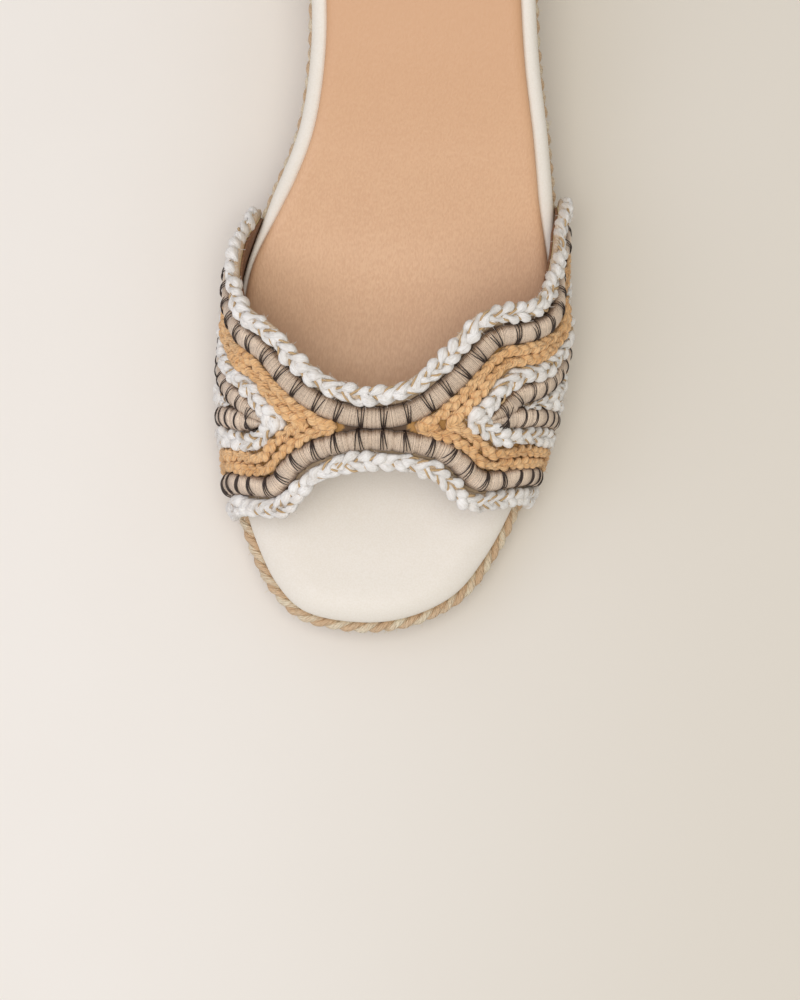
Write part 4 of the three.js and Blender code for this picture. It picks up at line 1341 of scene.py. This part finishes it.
sew(
    stitch_spots("edge_stitches", RUNS["satin"][:2], STITCH_EVERY), Threads=3, Open=0.0014,
    Close=0.0002, Half_Width=0.003, Height=0.0033, Thread_Radius=0.00019, Lean=0.25, Seed=1,
)
sew(
    stitch_spots("loop_stitches", RUNS["satin"][2:], STITCH_EVERY * 0.8), Threads=2, Open=0.0006,
    Close=0.0001, Half_Width=0.003, Height=0.0033, Thread_Radius=0.00017, Lean=0.22, Seed=4,
)
sew(
    pin_spots("loop_pins", RUNS["satin"][2:], 5.5), Threads=4, Open=0.003, Close=-0.003,
    Half_Width=0.0036, Height=0.0042, Thread_Radius=0.00019, Lean=0.3, Seed=6,
)

# %% [markdown]
# ## Loose fibres
#
# Cotton slub and jute are hairy. Short bent fibres stand out of the braids and the rope, thinner than
# the photograph can show one by one, so that they soften the outline.

# %% Loose fibres
def fibre_tree():
    tree, given, finish = new_tree(
        "Loose fibres",
        {"Density": 100000.0, "Length": 0.0015, "Fibre Radius": 0.00003, "Tilt": 1.2, "Seed": 0},
    )
    sockets = {"Mesh": given["Geometry"], "Density": given["Density"], "Seed": given["Seed"]}
    scatter = add(tree, "GeometryNodeDistributePointsOnFaces", sockets)
    factor = add(tree, "GeometryNodeSplineParameter")["Factor"]
    sockets = {0: factor * factor * 0.6, 1: (factor * 5.0).join("SINE") * 0.1}
    bent = moved_by(tree, short_line(tree, (0, 0, 1), 5), add(tree, "ShaderNodeCombineXYZ", sockets))
    circle = add(tree, "GeometryNodeCurvePrimitiveCircle", {"Resolution": 3, "Radius": 1.0})
    sockets = {"Curve": bent, "Profile Curve": circle, "Scale": given["Fibre Radius"] / given["Length"]}
    hair = add(tree, "GeometryNodeCurveToMesh", sockets)
    tilt = draw(tree, "FLOAT_VECTOR", (-1.0, -1.0, 0.0), (1.0, 1.0, 6.28), given["Seed"]) * given["Tilt"]
    spin = add(tree, "FunctionNodeEulerToRotation", {0: tilt})
    size = draw(tree, "FLOAT", given["Length"] * 0.5, given["Length"] * 1.3, given["Seed"] + 1.0)
    placed = add(
        tree, "GeometryNodeInstanceOnPoints",
        {
            "Points": scatter, "Instance": hair, "Scale": size,
            "Rotation": turned_by(tree, scatter["Rotation"], spin),
        },
    )
    return finish(placed)


FIBRES = fibre_tree()


def fibre_material(name, code):
    """One fine fibre. Its colour drifts a little from place to place."""
    material, tree, shader = new_material(name, 0.8, Sheen_Weight=0.1)
    drift = noise(tree, place(tree), 5, 1.0)
    plug(mix(tree, drift * 0.3, colour(code), colour("#B08F66")), shader.inputs["Base Color"])
    return material


def fibres_on(piece, slot, code, **inputs):
    """Fibres scattered over a copy of a piece, kept as a piece of their own."""
    hairs = bpy.data.objects.new(piece.name.split("_")[0] + "_fibres", piece.data.copy())
    scene.collection.objects.link(hairs)
    return keep(grow(hairs, FIBRES, fibre_material(hairs.name, code), **inputs), slot)


fibres_on(white_plaits, "strap", "#F0ECE6", Density=130000.0, Length=0.0011, Fibre_Radius=0.00005, Seed=31)
fibres_on(mustard_plaits, "strap", "#E2B983", Density=80000.0, Length=0.0008, Fibre_Radius=0.00004, Seed=32)

# %% [markdown]
# ## Jute rope
#
# The wedge is wound with rows of two-ply rope that lie level, and one more row follows the footbed. A
# row that meets the sloping top row is tucked in behind it and ends there.

# %% Rope
def rope_row(row):
    """The stretches of one row that show below the top row, as closed or open lines."""
    def height(y):
        return wedge_foot(y) + (row + 0.5) * ROPE_DIAMETER

    centre = level(lambda y: rope_reach(y, height(y)) - ROPE_DIAMETER / 2, height)
    hidden = (centre[:, 2] + ROPE_DIAMETER / 2 - trim_bottom(centre[:, 1])) / ROPE_DIAMETER
    centre[:, :2] -= OUTWARD * (ROPE_DIAMETER * ease(hidden) * 0.9)[:, None]
    shown = hidden < 1.0
    return centre, shown


ROPE_SEAM = int(SIDE_STEPS * 0.62)


def rope_piece(name, rows):
    """The rows as edges. Each starts and ends at the seam, in the waist of the big-toe side."""
    points, edges, ups, sides = [], [], [], []
    order = np.r_[ROPE_SEAM : len(RING), 0 : ROPE_SEAM + 1]
    out = np.c_[OUTWARD, np.zeros(len(RING))]
    for centre, shown in rows:
        start = sum(len(p) for p in points)
        run = unit(np.roll(centre, -1, axis=0) - np.roll(centre, 1, axis=0))
        points.append(centre[order])
        sides.append(out[order])
        ups.append(unit(np.cross(run, out))[order])
        both = shown[order][:-1] & shown[order][1:]
        edges += [(start + k, start + k + 1) for k in np.flatnonzero(both)]
    used = sorted({k for edge in edges for k in edge})
    number = {k: n for n, k in enumerate(used)}
    pick = lambda parts: np.concatenate(parts)[used]
    return make_mesh(
        name, pick(points), edges=[(number[a], number[b]) for a, b in edges],
        up=pick(ups), side=pick(sides), fan=np.ones(len(used)),
    )


def rope(name, rows, node, **inputs):
    """Two-ply rope along some rows."""
    twisted = grow(
        rope_piece(name, rows), CORD, jute, Strands=2, Side_Swing=0.00078, Height_Swing=0.00078,
        Height_Turns=1.0, Height_Phase=math.pi / 2, Lift=0.0, Radius=0.00104, Unevenness=0.3, **inputs,
    )
    return keep(twisted, "rope", node)


row_count = math.ceil((underside(FOOTBED_LENGTH) - wedge_foot(FOOTBED_LENGTH)) / ROPE_DIAMETER)
rows = [rope_row(row) for row in range(row_count)]
shown_rows = [(centre, shown) for centre, shown in rows if shown.any()]
wedge_rope = rope("wedge_rope", shown_rows, "rope_wedge", Period=0.0088, Sides=8, Spacing=0.0013, Seed=21)
trim_ring = level(lambda y: ledge(y) - ROPE_DIAMETER / 2, lambda y: trim_bottom(y) + ROPE_DIAMETER / 2)
top_row = [(trim_ring, np.ones(len(trim_ring), bool))]
top_rope = rope("top_rope", top_row, "rope_trim", Period=0.0084, Sides=14, Spacing=0.0006, Seed=23)
CORE_INSET = 2.6
core_levels = [
    level(lambda y: rope_reach(y, wedge_foot(y)) - CORE_INSET, lambda y: wedge_foot(y) - GAP),
    level(lambda y: ledge(y) - CORE_INSET - taper(y) / 2, lambda y: (wedge_foot(y) + underside(y)) / 2),
    level(lambda y: ledge(y) - CORE_INSET - 0.6, lambda y: underside(y) + 0.1),
]
keep(stack("wedge_core", core_levels, jute), "rope")
fibres_on(top_rope, "rope", "#E6D6B4", Density=160000.0, Length=0.0011, Fibre_Radius=0.00004, Seed=33)
fibres_on(wedge_rope, "rope", "#E0CCA6", Density=30000.0, Length=0.0014, Fibre_Radius=0.00004, Seed=34)

# %% [markdown]
# ## Floor, light and camera
#
# The photograph looks straight down from about 1.1 m. Two large soft warm lights hang over the shoe and
# before its toe, a weaker cool one stands close by on the left, and pale surroundings fill the rest.

# %% Stage
FLOOR_REACH = 6.0


def floor():
    """A plain pale floor, with painted shade that deepens its tone a little to the right."""
    mesh = bpy.data.meshes.new("floor")
    corners = [(x * FLOOR_REACH, y * FLOOR_REACH, 0) for x, y in ((-1, -1), (1, -1), (1, 1), (-1, 1))]
    mesh.from_pydata(corners, [], [(0, 1, 2, 3)])
    material, tree, shader = new_material("floor", 0.9)
    where = place(tree)
    across, _, _ = split(tree, where)
    plain_tone = mix(tree, noise(tree, where, 60, 2.0), colour("#ECE8E2"), colour("#E9E4DD"))
    # Painted shade: the floor's colour darkens towards the right.
    tone = mix(tree, band(tree, across, -0.11, 0.13), plain_tone, colour("#DDD7CC"))
    plug(tone, shader.inputs["Base Color"])
    mesh.materials.append(material)
    piece = bpy.data.objects.new("floor", mesh)
    scene.collection.objects.link(piece)
    piece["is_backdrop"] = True


floor()


AIM = Vector((0, -0.06, 0.03))


def soft_light(name, direction, distance, size, power, tint):
    """A round lamp that faces the strap, at a distance from it in one direction."""
    data = bpy.data.lights.new(name, "AREA")
    data.shape = "DISK"
    data.size = size
    data.energy = power
    data.color = colour(tint)[:3]
    lamp = bpy.data.objects.new(name, data)
    back = Vector(direction).normalized()
    lamp.location = AIM + back * distance
    lamp.rotation_mode = "QUATERNION"
    lamp.rotation_quaternion = (-back).to_track_quat("-Z", "Y")
    scene.collection.objects.link(lamp)


soft_light("overhead", (0.0, 0.0, 1.0), 1.6, 0.8, 9.0, "#FFFBF4")
soft_light("toe_side", (0.0, -0.42, 0.9), 1.6, 0.8, 4.0, "#FFF8EA")
soft_light("left", (-0.52, -0.1, 0.85), 0.75, 0.7, 1.5, "#E6E8FF")
world = bpy.data.worlds.new("studio")
world.use_nodes = True
world.node_tree.nodes["Background"].inputs["Color"].default_value = colour("#FFFEFC")
world.node_tree.nodes["Background"].inputs["Strength"].default_value = 0.43
scene.world = world
scene.view_settings.view_transform = "Standard"

ROLL = math.radians(3.5)
camera = bpy.data.objects.new("camera", bpy.data.cameras.new("camera"))
camera.data.sensor_width = 36
camera.data.lens = 133.7
camera.location = (0.0041, -0.08406, 1.1)
camera.rotation_euler = (0, 0, ROLL)
camera.data.clip_start = 0.05
scene.collection.objects.link(camera)
scene.camera = camera

# %% Sizes and finish
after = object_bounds()
for name, box in (("cad", CAD_BOX), ("visual", after)):
    print(name, [round(v / MM, 1) for corner in box for v in corner])
print("pieces", len(PIECES))
